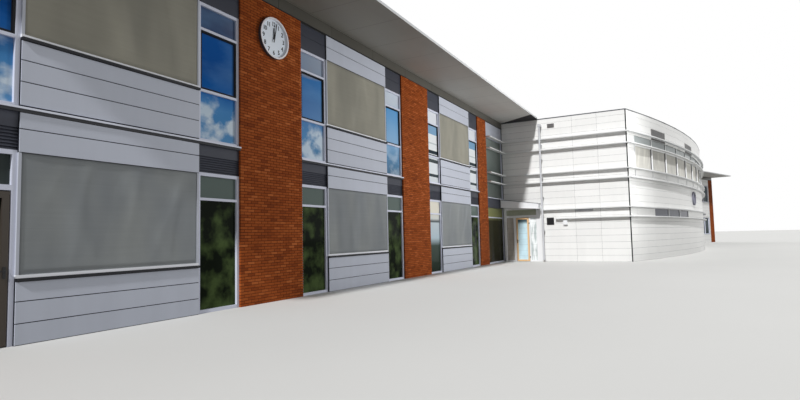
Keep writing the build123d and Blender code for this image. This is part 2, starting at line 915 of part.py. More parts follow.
with BuildPart() as band_screens:
    cassette_inner = arc_radius - band_glass_depth
    half_width = cassette_inner * light_spread
    for start in light_starts:
        with BuildSketch(radial_plane(start + grid_angle / 2, arc_radius - band_screen_depth)):
            area(-half_width, half_width, band_window_sill, band_screen_head)
        extrude(amount=-screen_thickness)
        with BuildSketch(radial_plane(start + grid_angle / 2, cassette_inner)):
            area(-half_width, half_width, band_screen_head, band_cassette_top)
        extrude(amount=band_cassette_depth)
band_screens.part.label = "band_screens"
export_step(band_screens.part, "parts/band_screens.step")

# Porthole: a rim with a round pane
with BuildPart() as porthole:
    with BuildSketch(radial_plane(porthole_angle, arc_radius + porthole_projection)):
        with Locations((0, porthole_height)):
            RegularPolygon(porthole_radius, porthole_facets)
            RegularPolygon(porthole_radius - porthole_rim, porthole_facets, mode=Mode.SUBTRACT)
    extrude(amount=-(porthole_projection + wall / 2))
porthole.part.label = "porthole_rim"
export_step(porthole.part, "parts/porthole_rim.step")

# Back wall and last wall of the block
with BuildPart() as block_back_wall:
    with BuildSketch(elevation(block_back)):
        area(end_wall_face, back_inner[0], 0, parapet_level)
        for left, sill, head in back_windows:
            area(left, left + back_window_width, sill, head, Mode.SUBTRACT)
    extrude(amount=wall)
block_back_wall.part.label = "block_back_wall"
export_step(block_back_wall.part, "parts/block_back_wall.step")

with BuildPart() as block_last_wall:
    with BuildSketch(Plane.XY):
        with BuildLine():
            Polyline(
                last_inner,
                far_origin,
                back_outer,
                (back_inner[0], block_back),
                back_inner,
                close=True,
            )
        make_face()
    extrude(amount=parapet_level)
block_last_wall.part.label = "block_last_wall"
export_step(block_last_wall.part, "parts/block_last_wall.step")

# Sun slats: straight along the end wall and the glass bay, mitred at the corner, and round the block
# in straight runs from post to post. The lowest one stops short of the blank plate.
slat_inner = arc_radius + slat_gap
slat_outer = slat_inner + slat_reach
slat_face = end_wall_face - slat_gap - slat_reach
joint_half_angle = slat_joint / 2 / radians(1) / arc_radius
high_slats = [level for level in slat_levels if level > entrance_head + canopy_inner_height]
slat_backs = {level: facade if level in high_slats else entrance_edge for level in slat_levels}
slat_backs[min(slat_levels)] = facade - plate_reach - plate_size / 2 - plate_margin
with BuildPart() as end_wall_slats:
    for level, back in slat_backs.items():
        with BuildSketch(Plane.XY.offset(level)):
            with BuildLine():
                Polyline(
                    (slat_face, back),
                    (end_wall_face - slat_gap, back),
                    corner_point(slat_gap),
                    corner_point(slat_gap + slat_reach),
                    close=True,
                )
            make_face()
        extrude(amount=slat_height)
end_wall_slats.part.label = "end_wall_slats"
export_step(end_wall_slats.part, "parts/end_wall_slats.step")

with BuildPart() as glass_bay_slats:
    with BuildSketch(elevation(facade - slat_gap)):
        for level in high_slats:
            area(glass_bay_start, slat_face, level, level + slat_height)
    extrude(amount=slat_reach)
glass_bay_slats.part.label = "glass_bay_slats"
export_step(glass_bay_slats.part, "parts/glass_bay_slats.step")


def run_angles(first, last, joint):
    """Angles at which a run along the curved wall bends, short of its ends by half a joint."""
    bends = [start for start in light_starts if first + joint < start < last - joint]
    return [first + joint, *bends, last - joint]


with BuildPart() as curved_slats:
    for level in slat_levels:
        with BuildSketch(Plane.XY.offset(level)):
            with BuildLine() as corner_run:
                bends = run_angles(grid_start, segment_ends[0], joint_half_angle)
                Polyline(
                    corner_point(slat_gap + slat_reach),
                    *[arc_point(angle, slat_outer) for angle in bends],
                    *[arc_point(angle, slat_inner) for angle in reversed(bends)],
                    corner_point(slat_gap),
                    close=True,
                )
            make_face(corner_run.edges())
            for first, last in zip(segment_starts[1:], segment_ends[1:]):
                with BuildLine() as run:
                    straight_ring(run_angles(first, last, joint_half_angle), slat_outer, slat_inner)
                make_face(run.edges())
        extrude(amount=slat_height)
curved_slats.part.label = "curved_slats"
export_step(curved_slats.part, "parts/curved_slats.step")

# Posts beside the screened lights and short brackets, which carry the slats
with BuildPart() as slat_brackets:
    post_levels = [level for level in slat_levels if storey < level < band_window_head]
    for start in light_starts:
        with BuildSketch(radial_plane(start, slat_inner - seat_clearance)):
            left, right = -slat_post_width / 2, slat_post_width / 2
            area(left, right, min(post_levels), max(post_levels) + slat_height)
        extrude(amount=-(slat_gap - 2 * seat_clearance))
    for level in slat_levels:
        if level not in post_levels:
            for start in light_starts[::2]:
                with BuildSketch(radial_plane(start, slat_inner - seat_clearance)):
                    area(-bracket_width / 2, bracket_width / 2, level, level + slat_height)
                extrude(amount=-(slat_gap - 2 * seat_clearance))
        with BuildSketch(side_elevation(end_wall_face)):
            for step in range(straight_bracket_count):
                place = -block_front - bracket_inset - step * bracket_pitch
                if place > -slat_backs[level]:
                    area(place, place + bracket_width, level, level + slat_height)
        extrude(amount=slat_gap)
    with BuildSketch(elevation(facade + column_recess)):
        for level in high_slats:
            left = glass_bay_start + (frame_face - bracket_width) / 2
            area(left, left + bracket_width, level, level + slat_height)
    extrude(amount=column_recess + slat_gap)
slat_brackets.part.label = "slat_brackets"
export_step(slat_brackets.part, "parts/slat_brackets.step")

# Dark coping on the end wall and the curved wall, in lengths with open joints
coping_outer = arc_radius + coping_overhang
coping_joint_angle = coping_joint / 2 / radians(1) / arc_radius
coping_edge = end_wall_face - coping_overhang
with BuildPart() as coping:
    with BuildSketch(Plane.XY.offset(parapet_level)):
        area(coping_edge, end_wall_inside, front_inner[1] + coping_joint, facade)
        with BuildLine() as corner_length:
            bends = run_angles(grid_start, segment_ends[0], coping_joint_angle)
            Polyline(
                (coping_edge, front_inner[1]),
                corner_point(coping_overhang),
                *[arc_point(angle, coping_outer) for angle in bends],
                *[arc_point(angle, inner_radius) for angle in reversed(bends)],
                front_inner,
                close=True,
            )
        make_face(corner_length.edges())
        for first, last in zip(segment_starts[1:], segment_ends[1:]):
            with BuildLine() as length:
                straight_ring(run_angles(first, last, coping_joint_angle), coping_outer, inner_radius)
            make_face(length.edges())
    extrude(amount=coping_height)
coping.part.label = "coping"
export_step(coping.part, "parts/coping.step")

# Entrance: frame, fixed glass, door and canopy. Local x runs out from the inner corner.
corner_line = -facade
sidelight_start = corner_line + entrance_inner_post
sidelight_end = sidelight_start + entrance_sidelight
entrance_door_start = sidelight_end + entrance_door_post
entrance_door_end = entrance_door_start + entrance_door_width
outer_light_start = entrance_door_end
outer_light_end = outer_light_start + entrance_outer_light
transom_sill = entrance_door_head + entrance_rail
fixed_lights = (
    (sidelight_start, sidelight_end, frame_face, entrance_door_head),
    (outer_light_start + frame_face, outer_light_end, frame_face, entrance_door_head),
    (sidelight_start, outer_light_end, transom_sill, transom_sill + entrance_transom),
)
entrance_face = end_wall_face + entrance_recess
with BuildPart() as entrance_frame:
    with BuildSketch(side_elevation(entrance_face)):
        area(corner_line, corner_line + entrance_width, 0, entrance_head)
        area(entrance_door_start, entrance_door_end, 0, entrance_door_head, Mode.SUBTRACT)
        for light in fixed_lights:
            area(*light, Mode.SUBTRACT)
    extrude(amount=-window_frame_depth)
entrance_frame.part.label = "entrance_frame"
export_step(entrance_frame.part, "parts/entrance_frame.step")

with BuildPart() as entrance_glass:
    with BuildSketch(side_elevation(entrance_face + (window_frame_depth - glass_thickness) / 2)):
        for light in fixed_lights:
            area(*light)
    extrude(amount=-glass_thickness)
entrance_glass.part.label = "entrance_glass"
export_step(entrance_glass.part, "parts/entrance_glass.step")

entrance_leaf = (
    entrance_door_start + door_gap,
    entrance_door_end - door_gap,
    door_threshold,
    entrance_door_head - door_gap,
)
entrance_pane = (
    entrance_leaf[0] + entrance_stile,
    entrance_leaf[1] - entrance_stile,
    entrance_leaf[2] + entrance_stile,
    entrance_leaf[3] - entrance_stile,
)
entrance_axis = (entrance_face - hinge_radius, -entrance_leaf[1] - door_gap / 2)
entrance_hinge_levels = (
    door_threshold + hinge_inset,
    entrance_leaf[3] - hinge_inset - 2 * knuckle_height,
)
with BuildPart() as entrance_door_leaf:
    with BuildSketch(side_elevation(entrance_face)):
        area(*entrance_leaf)
        area(*entrance_pane, Mode.SUBTRACT)
    extrude(amount=-door_thickness)
    for level in entrance_hinge_levels:
        with BuildSketch(Plane.XY.offset(level + knuckle_height + seat_clearance)):
            with Locations(entrance_axis):
                RegularPolygon(hinge_radius, hinge_facets)
            plate_front = entrance_face - seat_clearance - hinge_plate_thickness
            plate_end = entrance_axis[1] + hinge_plate_width
            area(plate_front, entrance_face - seat_clearance, entrance_axis[1], plate_end)
        extrude(amount=knuckle_height)
entrance_door_leaf.part.label = "entrance_door_leaf"
export_step(entrance_door_leaf.part, "parts/entrance_door_leaf.step")

with BuildPart() as entrance_door_glass:
    with BuildSketch(side_elevation(entrance_face + (door_thickness - glass_thickness) / 2)):
        area(*entrance_pane)
    extrude(amount=-glass_thickness)
entrance_door_glass.part.label = "entrance_door_glass"
export_step(entrance_door_glass.part, "parts/entrance_door_glass.step")

# Frame halves of the door hinges
with BuildPart() as door_hinges:
    for level in garden_hinge_levels:
        with BuildSketch(Plane.XY.offset(level)):
            with Locations(garden_axis):
                RegularPolygon(hinge_radius, hinge_facets)
            plate_start = garden_axis[0] - hinge_plate_width
            area(plate_start, garden_axis[0], leaf_face - hinge_plate_thickness, leaf_face)
        extrude(amount=knuckle_height)
    for level in entrance_hinge_levels:
        with BuildSketch(Plane.XY.offset(level)):
            with Locations(entrance_axis):
                RegularPolygon(hinge_radius, hinge_facets)
            plate_start = entrance_axis[1] - hinge_plate_width
            area(entrance_face - hinge_plate_thickness, entrance_face, plate_start, entrance_axis[1])
        extrude(amount=knuckle_height)
door_hinges.part.label = "door_hinges"
export_step(door_hinges.part, "parts/door_hinges.step")

# Lever handles, each on a plate at the leaf's free stile and pointing towards the hinges
for name, face, stile_middle, way in (
    ("garden_door_handle", elevation(leaf_face), leaf_right - door_stile / 2, -1),
    ("entrance_door_handle", side_elevation(entrance_face), entrance_leaf[0] + entrance_stile / 2, 1),
):
    with BuildPart() as handle:
        with BuildSketch(face) as plate:
            with Locations((stile_middle, handle_height)):
                Rectangle(*handle_plate)
            chamfer(plate.vertices(), handle_corner)
        extrude(amount=handle_plate_thickness)
        with BuildSketch(face.offset(handle_plate_thickness)):
            with Locations((stile_middle, handle_height + lever_drop)):
                Rectangle(lever_neck, lever_neck)
        extrude(amount=lever_standoff)
        with BuildSketch(face.offset(handle_plate_thickness + lever_standoff)):
            lever_middle = stile_middle + way * (lever_length - lever_neck) / 2
            with Locations((lever_middle, handle_height + lever_drop)):
                Rectangle(lever_length, lever_height)
        extrude(amount=lever_thickness)
    handle.part.label = name
    export_step(handle.part, f"parts/{name}.step")

# Canopy over the entrance, which falls and thins outwards
canopy_foot = entrance_head - canopy_fall
with BuildPart() as entrance_canopy:
    with BuildSketch(side_elevation(end_wall_face)):
        with BuildLine():
            Polyline(
                (corner_line, entrance_head),
                (corner_line + entrance_width, canopy_foot),
                (corner_line + entrance_width, canopy_foot + canopy_outer_height),
                (corner_line, entrance_head + canopy_inner_height),
                close=True,
            )
        make_face()
    extrude(amount=canopy_reach)
entrance_canopy.part.label = "entrance_canopy"
export_step(entrance_canopy.part, "parts/entrance_canopy.step")

# Far wing: front wall with windows, pier, fascia, shell, floors and roof
with BuildPart() as far_front_wall:
    with BuildSketch(far_elevation(0)):
        area(0, far_wall_length, 0, band_bottom)
        for left, sill, head in far_windows:
            area(left, left + far_window_width, sill, head, Mode.SUBTRACT)
    extrude(amount=-wall)
far_front_wall.part.label = "far_front_wall"
export_step(far_front_wall.part, "parts/far_front_wall.step")

with BuildPart() as far_windows_glazed:
    for inward in (window_recess, far_depth - window_recess - glass_thickness):
        with BuildSketch(far_elevation(inward)):
            for left, sill, head in far_windows:
                area(left, left + far_window_width, sill, head)
        extrude(amount=-glass_thickness)
far_windows_glazed.part.label = "far_window_glass"
export_step(far_windows_glazed.part, "parts/far_window_glass.step")

with BuildPart() as far_end_wall:
    with BuildSketch(far_plan(0)):
        area(far_length - wall, far_length, wall, far_depth)
    extrude(amount=soffit_level)
far_end_wall.part.label = "far_end_wall"
export_step(far_end_wall.part, "parts/far_end_wall.step")

with BuildPart() as far_back_wall:
    with BuildSketch(far_elevation(far_depth - wall)):
        area(0, far_length - wall, 0, soffit_level)
        for left, sill, head in far_windows:
            area(left, left + far_window_width, sill, head, Mode.SUBTRACT)
    extrude(amount=-wall)
far_back_wall.part.label = "far_back_wall"
export_step(far_back_wall.part, "parts/far_back_wall.step")

with BuildPart() as far_roof:
    with BuildSketch(
        Plane(
            origin=(far_origin[0], far_origin[1], 0),
            x_dir=(far_inward[0], far_inward[1], 0),
            z_dir=(far_along[0], far_along[1], 0),
        )
    ):
        with BuildLine():
            Polyline(
                (-eave_overhang, soffit_level),
                (far_depth, soffit_level),
                (far_depth, soffit_level + roof_rise),
                (0, soffit_level + roof_rise),
                (-eave_overhang, soffit_level + eave_edge),
                close=True,
            )
        make_face()
    extrude(amount=far_length + roof_end_overhang)
far_roof.part.label = "far_roof"
export_step(far_roof.part, "parts/far_roof.step")

# Downpipe outside the slats, with a hopper at its outlet and clips back to the wall
pipe_centre = (slat_face - pipe_radius, facade - pipe_reach)
with BuildPart() as downpipe:
    with BuildSketch(Plane.XY.offset(pipe_shoe)):
        with Locations(pipe_centre):
            RegularPolygon(pipe_radius, pipe_facets)
    extrude(amount=pipe_top - pipe_shoe)
    with BuildSketch(Plane.XY.offset(pipe_top)):
        area(
            pipe_centre[0] - hopper_width / 2,
            end_wall_face,
            pipe_centre[1] - hopper_width / 2,
            pipe_centre[1] + hopper_width / 2,
        )
    extrude(amount=hopper_height)
    for level in pipe_clip_levels:
        with BuildSketch(Plane.XY.offset(level)):
            area(
                pipe_centre[0],
                end_wall_face,
                pipe_centre[1] - pipe_clip_width / 2,
                pipe_centre[1] + pipe_clip_width / 2,
            )
        extrude(amount=pipe_clip_height)
downpipe.part.label = "downpipe"
export_step(downpipe.part, "parts/downpipe.step")

# Blank plate and lamp on the end wall
for name, reach, level, width, height, depth in (
    ("blank_plate", plate_reach, plate_level, plate_size, plate_size, plate_thickness),
    ("wall_lamp", lamp_reach, lamp_level, lamp_width, lamp_height, lamp_depth),
):
    with BuildPart() as fitting:
        with BuildSketch(side_elevation(end_wall_face)):
            with Locations((corner_line + reach, level)):
                Rectangle(width, height)
        extrude(amount=depth)
    fitting.part.label = name
    export_step(fitting.part, f"parts/{name}.step")

# Vents: a small one and a long one on the end wall, and two on the curved wall
with BuildPart() as wall_vent:
    with BuildSketch(side_elevation(end_wall_face)):
        with Locations((corner_line + high_vent_reach, high_vent_level)):
            Rectangle(*high_vent_size)
        with Locations((corner_line + low_vent_reach, low_vent_level)):
            Rectangle(*low_vent_size)
    extrude(amount=vent_depth)
    with BuildSketch(Plane.XY.offset(curved_vent_sill)):
        vent_inner = arc_radius + seat_clearance
        for cell in curved_vent_cells:
            first = light_starts[cell] + post_half_angle
            last = light_starts[cell + 1] - post_half_angle
            with BuildLine() as outline:
                ring_sector(first, last, vent_inner + curved_vent_depth, vent_inner)
            make_face(outline.edges())
    extrude(amount=curved_vent_head - curved_vent_sill)
wall_vent.part.label = "wall_vent"
export_step(wall_vent.part, "parts/wall_vent.step")
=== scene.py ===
import random
from math import cos, pi, radians, sin, tan

import bmesh
import bpy
from mathutils import Matrix, Vector


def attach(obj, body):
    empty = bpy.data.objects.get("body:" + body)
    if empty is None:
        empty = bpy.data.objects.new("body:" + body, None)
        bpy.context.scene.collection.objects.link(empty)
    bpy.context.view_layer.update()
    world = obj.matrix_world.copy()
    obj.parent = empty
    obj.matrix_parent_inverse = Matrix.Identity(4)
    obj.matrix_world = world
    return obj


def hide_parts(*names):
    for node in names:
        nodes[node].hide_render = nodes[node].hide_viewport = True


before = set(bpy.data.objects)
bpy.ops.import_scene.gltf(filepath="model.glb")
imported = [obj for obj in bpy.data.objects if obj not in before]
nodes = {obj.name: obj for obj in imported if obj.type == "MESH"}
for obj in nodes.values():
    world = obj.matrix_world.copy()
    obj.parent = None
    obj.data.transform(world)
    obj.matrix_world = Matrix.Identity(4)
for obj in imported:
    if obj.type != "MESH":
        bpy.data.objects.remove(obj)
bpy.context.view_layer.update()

# Sizes of the building, in metres of the half-scale model, as the frame has them
FACADE = -2.5
STOREY = 1.8
BAND_BOTTOM = 3.655
SOFFIT = 3.828
PARAPET = 3.805
BAY = 3.95
PANEL_WIDTH = 1.695
COLUMN_WIDTH = 0.58
PIER_WIDTH = 1.095
CORNER_PIER = (10.175, 0.622)
GLASS_BAY_START, GLASS_BAY_HEAD = 10.797, 3.285
WING_LEFT, WING_RIGHT = -1.675, 12.154
EAVE = 1.01
BOARD_RECESS = 0.006
COLUMN_RECESS = 0.024
FRAME_FACE = 0.035
GUIDE_WIDTH = 0.022
BOTTOM_BAR = 0.024
LOWER_SILL, LOWER_HEAD = 0.497, 1.449
UPPER_SILL, UPPER_HEAD = 2.345, 3.297
STOREYS = ((LOWER_SILL, LOWER_HEAD), (UPPER_SILL, UPPER_HEAD))
UPPER_RAIL, UPPER_TRANSOM, RAIL_HALF = 2.343, 3.01, 0.014
BLOCK_FRONT = FACADE - 3.203
BLOCK_BACK = 3.7
WALL = 0.15
ARC_RADIUS = 31.4
ARC_START, ARC_END = -19.5, 13.5
ARC_CENTRE = (WING_RIGHT - ARC_RADIUS * sin(radians(ARC_START)),
              BLOCK_FRONT + ARC_RADIUS * cos(radians(ARC_START)))
GRID_START, GRID_ANGLE, LIGHT_COUNT = -18.75, 2.06, 15
POST_HALF = 0.023
BAND_SILL, BAND_HEAD = 2.35, 3.19
CASSETTE_FOOT, CASSETTE_TOP, FOOT_BAR = 2.925, 2.981, 0.02
CLERESTORY_SILL, CLERESTORY_HEAD = 1.138, 1.34
CLERESTORY_FIRSTS, CLERESTORY_LIGHTS = (1, 8), 3
PORTHOLE_ANGLE, PORTHOLE_LEVEL, PORTHOLE_CLEAR = -8.7, 1.78, 0.189
TOP_VENT_CELLS, TOP_VENT_FOOT, TOP_VENT_HEAD = (1, 4), 3.195, 3.5
SLAT_LEVELS = (3.242, 2.948, 2.318, 2.082, 1.352, 1.11)
SLAT_HEIGHT = 0.026
ENTRANCE_START, ENTRANCE_WIDTH, ENTRANCE_HEAD = -FACADE, 1.01, 1.46
CANOPY_EDGE, CANOPY_REACH = 3.512, 0.3
CANOPY_HEAD, CANOPY_FOOT_FALL, CANOPY_HEAD_FALL = 1.68, 0.065, 0.145
END_JOINTS = (4.395, 5.01)
CLOCK = (2.8225, FACADE - 0.018, 3.236)
FAR_TURN = 20
FAR_LENGTH, FAR_DEPTH, FAR_PIER = 5.0, 4.0, 0.64

PANEL_STARTS = [index * BAY for index in range(3)]
PIERS = [(start - COLUMN_WIDTH - PIER_WIDTH, PIER_WIDTH) for start in PANEL_STARTS]
PIERS.append(CORNER_PIER)
COLUMNS = [start + step for start in PANEL_STARTS for step in (-COLUMN_WIDTH, PANEL_WIDTH)]


def tone(red, green, blue):
    """Colour from its screen values, 0 to 255, as the shader's own."""
    channels = [value / 255 for value in (red, green, blue)]
    straight = [v / 12.92 if v <= 0.04045 else ((v + 0.055) / 1.055) ** 2.4 for v in channels]
    return (*straight, 1)


class Paint:
    """A procedural material: one Principled shader and the nodes that feed it."""

    def __init__(self, name, roughness, **settings):
        self.material = bpy.data.materials.new(name)
        self.material.use_nodes = True
        self.tree = self.material.node_tree
        self.shader = self.tree.nodes["Principled BSDF"]
        self.shader.inputs["Roughness"].default_value = roughness
        for socket, value in settings.items():
            self.shader.inputs[socket.replace("_", " ")].default_value = value
        self.place = self.add("ShaderNodeTexCoord").outputs["Object"]

    def feed(self, socket, value):
        if isinstance(value, bpy.types.NodeSocket):
            self.tree.links.new(value, socket)
        else:
            socket.default_value = value

    def add(self, kind, inputs=(), **settings):
        node = self.tree.nodes.new(kind)
        for key, value in settings.items():
            setattr(node, key, value)
        for socket, value in dict(inputs).items():
            self.feed(node.inputs[socket], value)
        return node

    def math(self, operation, first, second=0.0):
        return self.add("ShaderNodeMath", {0: first, 1: second}, operation=operation).outputs[0]

    def times(self, *values):
        product = values[0]
        for value in values[1:]:
            product = self.math("MULTIPLY", product, value)
        return product

    def axis(self, name):
        return self.add("ShaderNodeSeparateXYZ", {0: self.place}).outputs[name]

    def normal(self, name):
        """One part of the surface's own direction in the model's frame."""
        facing = self.add("ShaderNodeNewGeometry").outputs["Normal"]
        return self.add("ShaderNodeSeparateXYZ", {0: facing}).outputs[name]

    def tint(self):
        """The tone that the mesh gives each board or brick, 0 to 1."""
        return self.add("ShaderNodeAttribute", attribute_name="tint").outputs["Fac"]

    def noise(self, scale, detail, stretch=(1, 1, 1)):
        where = self.add("ShaderNodeMapping", {"Vector": self.place, "Scale": stretch}).outputs[0]
        inputs = {"Vector": where, "Scale": scale, "Detail": detail}
        return self.add("ShaderNodeTexNoise", inputs).outputs[0]

    def ramp(self, value, *stops, smooth=True):
        """Screen colours at places along a value: each stop is its place, red, green and blue."""
        low, high = stops[0][0], stops[-1][0]
        node = self.add("ShaderNodeValToRGB", {"Fac": self.span(value, low, high)})
        node.color_ramp.interpolation = "LINEAR" if smooth else "CONSTANT"
        spots = node.color_ramp.elements
        while len(spots) < len(stops):
            spots.new(1.0)
        for spot, (place, *colour) in zip(spots, stops):
            spot.position = (place - low) / (high - low)
            spot.color = tone(*colour)
        return node.outputs["Color"]

    def span(self, value, low, high, to_low=0.0, to_high=1.0):
        """Carries a value from one range to another, and stops at its ends."""
        inputs = {0: value, 1: low, 2: high, 3: to_low, 4: to_high}
        return self.add("ShaderNodeMapRange", inputs).outputs[0]

    def vary(self, noise, least, most):
        """A noise's usual range, 0.3 to 0.7, carried to another."""
        return self.span(noise, 0.3, 0.7, least, most)

    def mix(self, factor, first, second, blend="MIX"):
        node = self.add("ShaderNodeMix", data_type="RGBA", blend_type=blend)
        self.feed(node.inputs[0], factor)
        self.feed(node.inputs[6], first)
        self.feed(node.inputs[7], second)
        return node.outputs[2]

    def colour(self, value, shade=None):
        """Base colour, multiplied by a number where a shade is given."""
        if shade is not None:
            grey = self.add("ShaderNodeCombineColor", {0: shade, 1: shade, 2: shade}).outputs[0]
            value = self.mix(1.0, value, grey, "MULTIPLY")
        self.feed(self.shader.inputs["Base Color"], value)

    def rough(self, value):
        self.feed(self.shader.inputs["Roughness"], value)

    def bump(self, height, distance, strength):
        """Adds relief on top of what is there already."""
        normal = self.shader.inputs["Normal"]
        inputs = {"Height": height, "Distance": distance, "Strength": strength}
        if normal.is_linked:
            inputs["Normal"] = normal.links[0].from_socket
        self.feed(normal, self.add("ShaderNodeBump", inputs).outputs[0])

    def edge(self, value, centre, half_width, softness=0.001):
        """1 on a thin line where a value is near its centre, 0 elsewhere."""
        away = self.math("ABSOLUTE", self.math("SUBTRACT", value, centre))
        return self.span(away, half_width, half_width + softness, 1.0, 0.0)

    def lines(self, value, pitch, half_width, phase=0.0, softness=0.001):
        """1 on thin lines that repeat every pitch along a value."""
        moved = self.math("ADD", value, pitch / 2 - phase)
        inside = self.math("FLOORED_MODULO", moved, pitch)
        return self.edge(inside, pitch / 2, half_width, softness)


def link(made):
    bpy.context.scene.collection.objects.link(made)
    return made


def make_camera():
    """Camera at the photograph's place: yaw from +X towards +Y, then pitch, then roll."""
    yaw, pitch, roll = radians(28.212), radians(3.915), radians(-1.291)
    level = Vector((cos(yaw), sin(yaw), 0))
    side = Vector((sin(yaw), -cos(yaw), 0))
    forward = level * cos(pitch) + Vector((0, 0, 1)) * sin(pitch)
    above = Vector((0, 0, 1)) * cos(pitch) - level * sin(pitch)
    right = side * cos(roll) + above * sin(roll)
    up = above * cos(roll) - side * sin(roll)
    stand = (-2.1635, -6.9235, 0.7465)
    data = bpy.data.cameras.new("camera")
    data.lens = 23.985
    data.sensor_width = 36
    data.clip_end = 500
    camera = link(bpy.data.objects.new("camera", data))
    turn = Matrix((right, up, -forward)).transposed().to_4x4()
    camera.matrix_world = Matrix.Translation(stand) @ turn
    bpy.context.scene.camera = camera


def make_world(ambient):
    """White behind the object and in its reflections, and an even light of its own level."""
    world = bpy.data.worlds.new("studio")
    world.use_nodes = True
    bpy.context.scene.world = world
    tree = world.node_tree
    background = tree.nodes["Background"]
    rays = tree.nodes.new("ShaderNodeLightPath").outputs
    seen = rays["Is Camera Ray"]
    for name in ("Is Glossy Ray", "Is Transmission Ray"):
        either = tree.nodes.new("ShaderNodeMath")
        either.operation = "MAXIMUM"
        tree.links.new(seen, either.inputs[0])
        tree.links.new(rays[name], either.inputs[1])
        seen = either.outputs[0]
    level = tree.nodes.new("ShaderNodeMapRange")
    level.inputs["To Min"].default_value = ambient
    level.inputs["To Max"].default_value = 1.0
    tree.links.new(seen, level.inputs["Value"])
    tree.links.new(level.outputs[0], background.inputs["Strength"])
    background.inputs["Color"].default_value = (1, 1, 1, 1)


def make_lamp(name, kind, source, strength, place=(0, 0, 0), **settings):
    """A soft lamp whose light comes from the direction given as its source."""
    data = bpy.data.lights.new(name, kind)
    data.energy = strength
    for key, value in settings.items():
        setattr(data, key, value)
    lamp = link(bpy.data.objects.new(name, data))
    lamp.location = place
    lamp.rotation_euler = Vector(source).to_track_quat("Z", "Y").to_euler()
    lamp.visible_camera = False
    lamp.visible_glossy = False
    return lamp


def make_floor():
    data = bpy.data.meshes.new("floor")
    reach, level = 220, -0.001
    turns = ((-1, -1), (1, -1), (1, 1), (-1, 1))
    corners = [(reach * across, reach * along, level) for across, along in turns]
    data.from_pydata(corners, [], [(0, 1, 2, 3)])
    pale = Paint("pale_floor", roughness=0.9, Specular_IOR_Level=0.1)
    cloud = pale.noise(0.35, 4)
    seen = pale.add("ShaderNodeLightPath").outputs["Is Camera Ray"]
    base = pale.mix(seen, tone(150, 150, 148), tone(218, 218, 216))
    pale.colour(base, pale.vary(cloud, 0.985, 1.01))
    pale.bump(pale.noise(40, 3), 0.001, 0.3)
    data.materials.append(pale.material)
    floor = link(bpy.data.objects.new("floor", data))
    return floor


def keep_off(lamp, stage):
    """Keeps a near lamp's pool of light off the stage, so that the floor stays even."""
    group = bpy.data.collections.new(lamp.name + "_receivers")
    group.objects.link(stage)
    group.collection_objects[0].light_linking.link_state = "EXCLUDE"
    lamp.light_linking.receiver_collection = group


make_camera()
make_world(ambient=0.35)
make_lamp("key", "SUN", (-0.80, -0.12, 0.62), 3.12, angle=radians(3))
make_lamp("back", "SUN", (0.7, 0.5, 0.5), 0.8, angle=radians(50))
side_lamp = make_lamp("side", "AREA", (0.58, -0.81, 0.0), 155, (12.8, -11.0, 2.9),
                      size=3.0, spread=radians(80))
front_lamp = make_lamp("front", "AREA", (0.0, -1.0, 0.0), 80, (20.5, -18.0, 2.7),
                       size=4.0, spread=radians(85))
pale_floor = make_floor()
for near_lamp in (side_lamp, front_lamp):
    keep_off(near_lamp, pale_floor)
bpy.context.scene.view_settings.view_transform = "Standard"


# Materials

def boards_paint(name, base, weather=0.03):
    """Painted boards: a tone of its own for each board, faint upright streaks, fine grain."""
    paint = Paint(name, roughness=0.42)
    streaks = paint.noise(1.0, 4, (7, 7, 0.8))
    grime = paint.noise(0.6, 5)
    shade = paint.math("ADD", paint.span(paint.tint(), 0, 1, 0.955, 1.0),
                       paint.vary(streaks, -weather, 0.0))
    shade = paint.math("ADD", shade, paint.span(grime, 0.35, 0.7, -weather, 0.01))
    paint.colour(base, shade)
    paint.rough(paint.vary(streaks, 0.36, 0.5))
    paint.bump(paint.noise(60, 2), 0.0004, 0.4)
    return paint.material


def metal_paint(name, base, roughness=0.38, mottle=0.05):
    """Powder-coated metal: a fine orange-peel relief and a slight change of tone."""
    paint = Paint(name, roughness=roughness)
    cloud = paint.noise(1.3, 4)
    paint.colour(base, paint.vary(cloud, 1.0 - mottle, 1.0 + mottle / 2))
    paint.rough(paint.vary(cloud, roughness - 0.06, roughness + 0.08))
    paint.bump(paint.noise(240, 2), 0.0003, 0.5)
    return paint.material


def roof_paint():
    """Roof: taupe soffit sheets with open joints below, with painted shade darkening them towards the gable
    end and painted light lifting them towards the block, light metal edges, seamed membrane on top.
    """
    paint = Paint("roof", roughness=0.5, Specular_IOR_Level=0.4)
    place, across = paint.axis("X"), paint.axis("Y")
    cloud = paint.noise(0.5, 4)
    drift = paint.noise(1.0, 3, (0.25, 2.5, 1))
    down = paint.span(paint.normal("Z"), -0.6, -0.4, 1.0, 0.0)
    up = paint.span(paint.normal("Z"), 0.6, 0.8)
    sheet_length, sheet_width, seam_pitch = 0.79, EAVE, 0.9
    sheets = paint.math("MAXIMUM", paint.lines(place, sheet_length, 0.004, sheet_length / 2),
                        paint.lines(across, sheet_width, 0.0035, 0.503))
    seams = paint.lines(place, seam_pitch, 0.012)
    # Painted shade and light: the soffit's tone runs from dark at the gable end to light at the block.
    soffit = paint.mix(paint.span(place, 1.5, 12.0), tone(125, 120, 109), tone(214, 213, 208))
    tint = paint.mix(down, tone(206, 208, 210), soffit)
    tint = paint.mix(up, tint, tone(150, 152, 152))
    shade = paint.times(paint.vary(cloud, 0.94, 1.05), paint.vary(drift, 0.94, 1.05))
    shade = paint.times(shade, paint.span(paint.times(sheets, down), 0, 1, 1.0, 0.6))
    shade = paint.times(shade, paint.span(paint.times(seams, up), 0, 1, 1.0, 0.8))
    paint.colour(tint, shade)
    paint.bump(paint.times(sheets, -1.0), 0.0015, 0.6)
    paint.bump(paint.times(seams, up), 0.006, 0.6)
    return paint.material


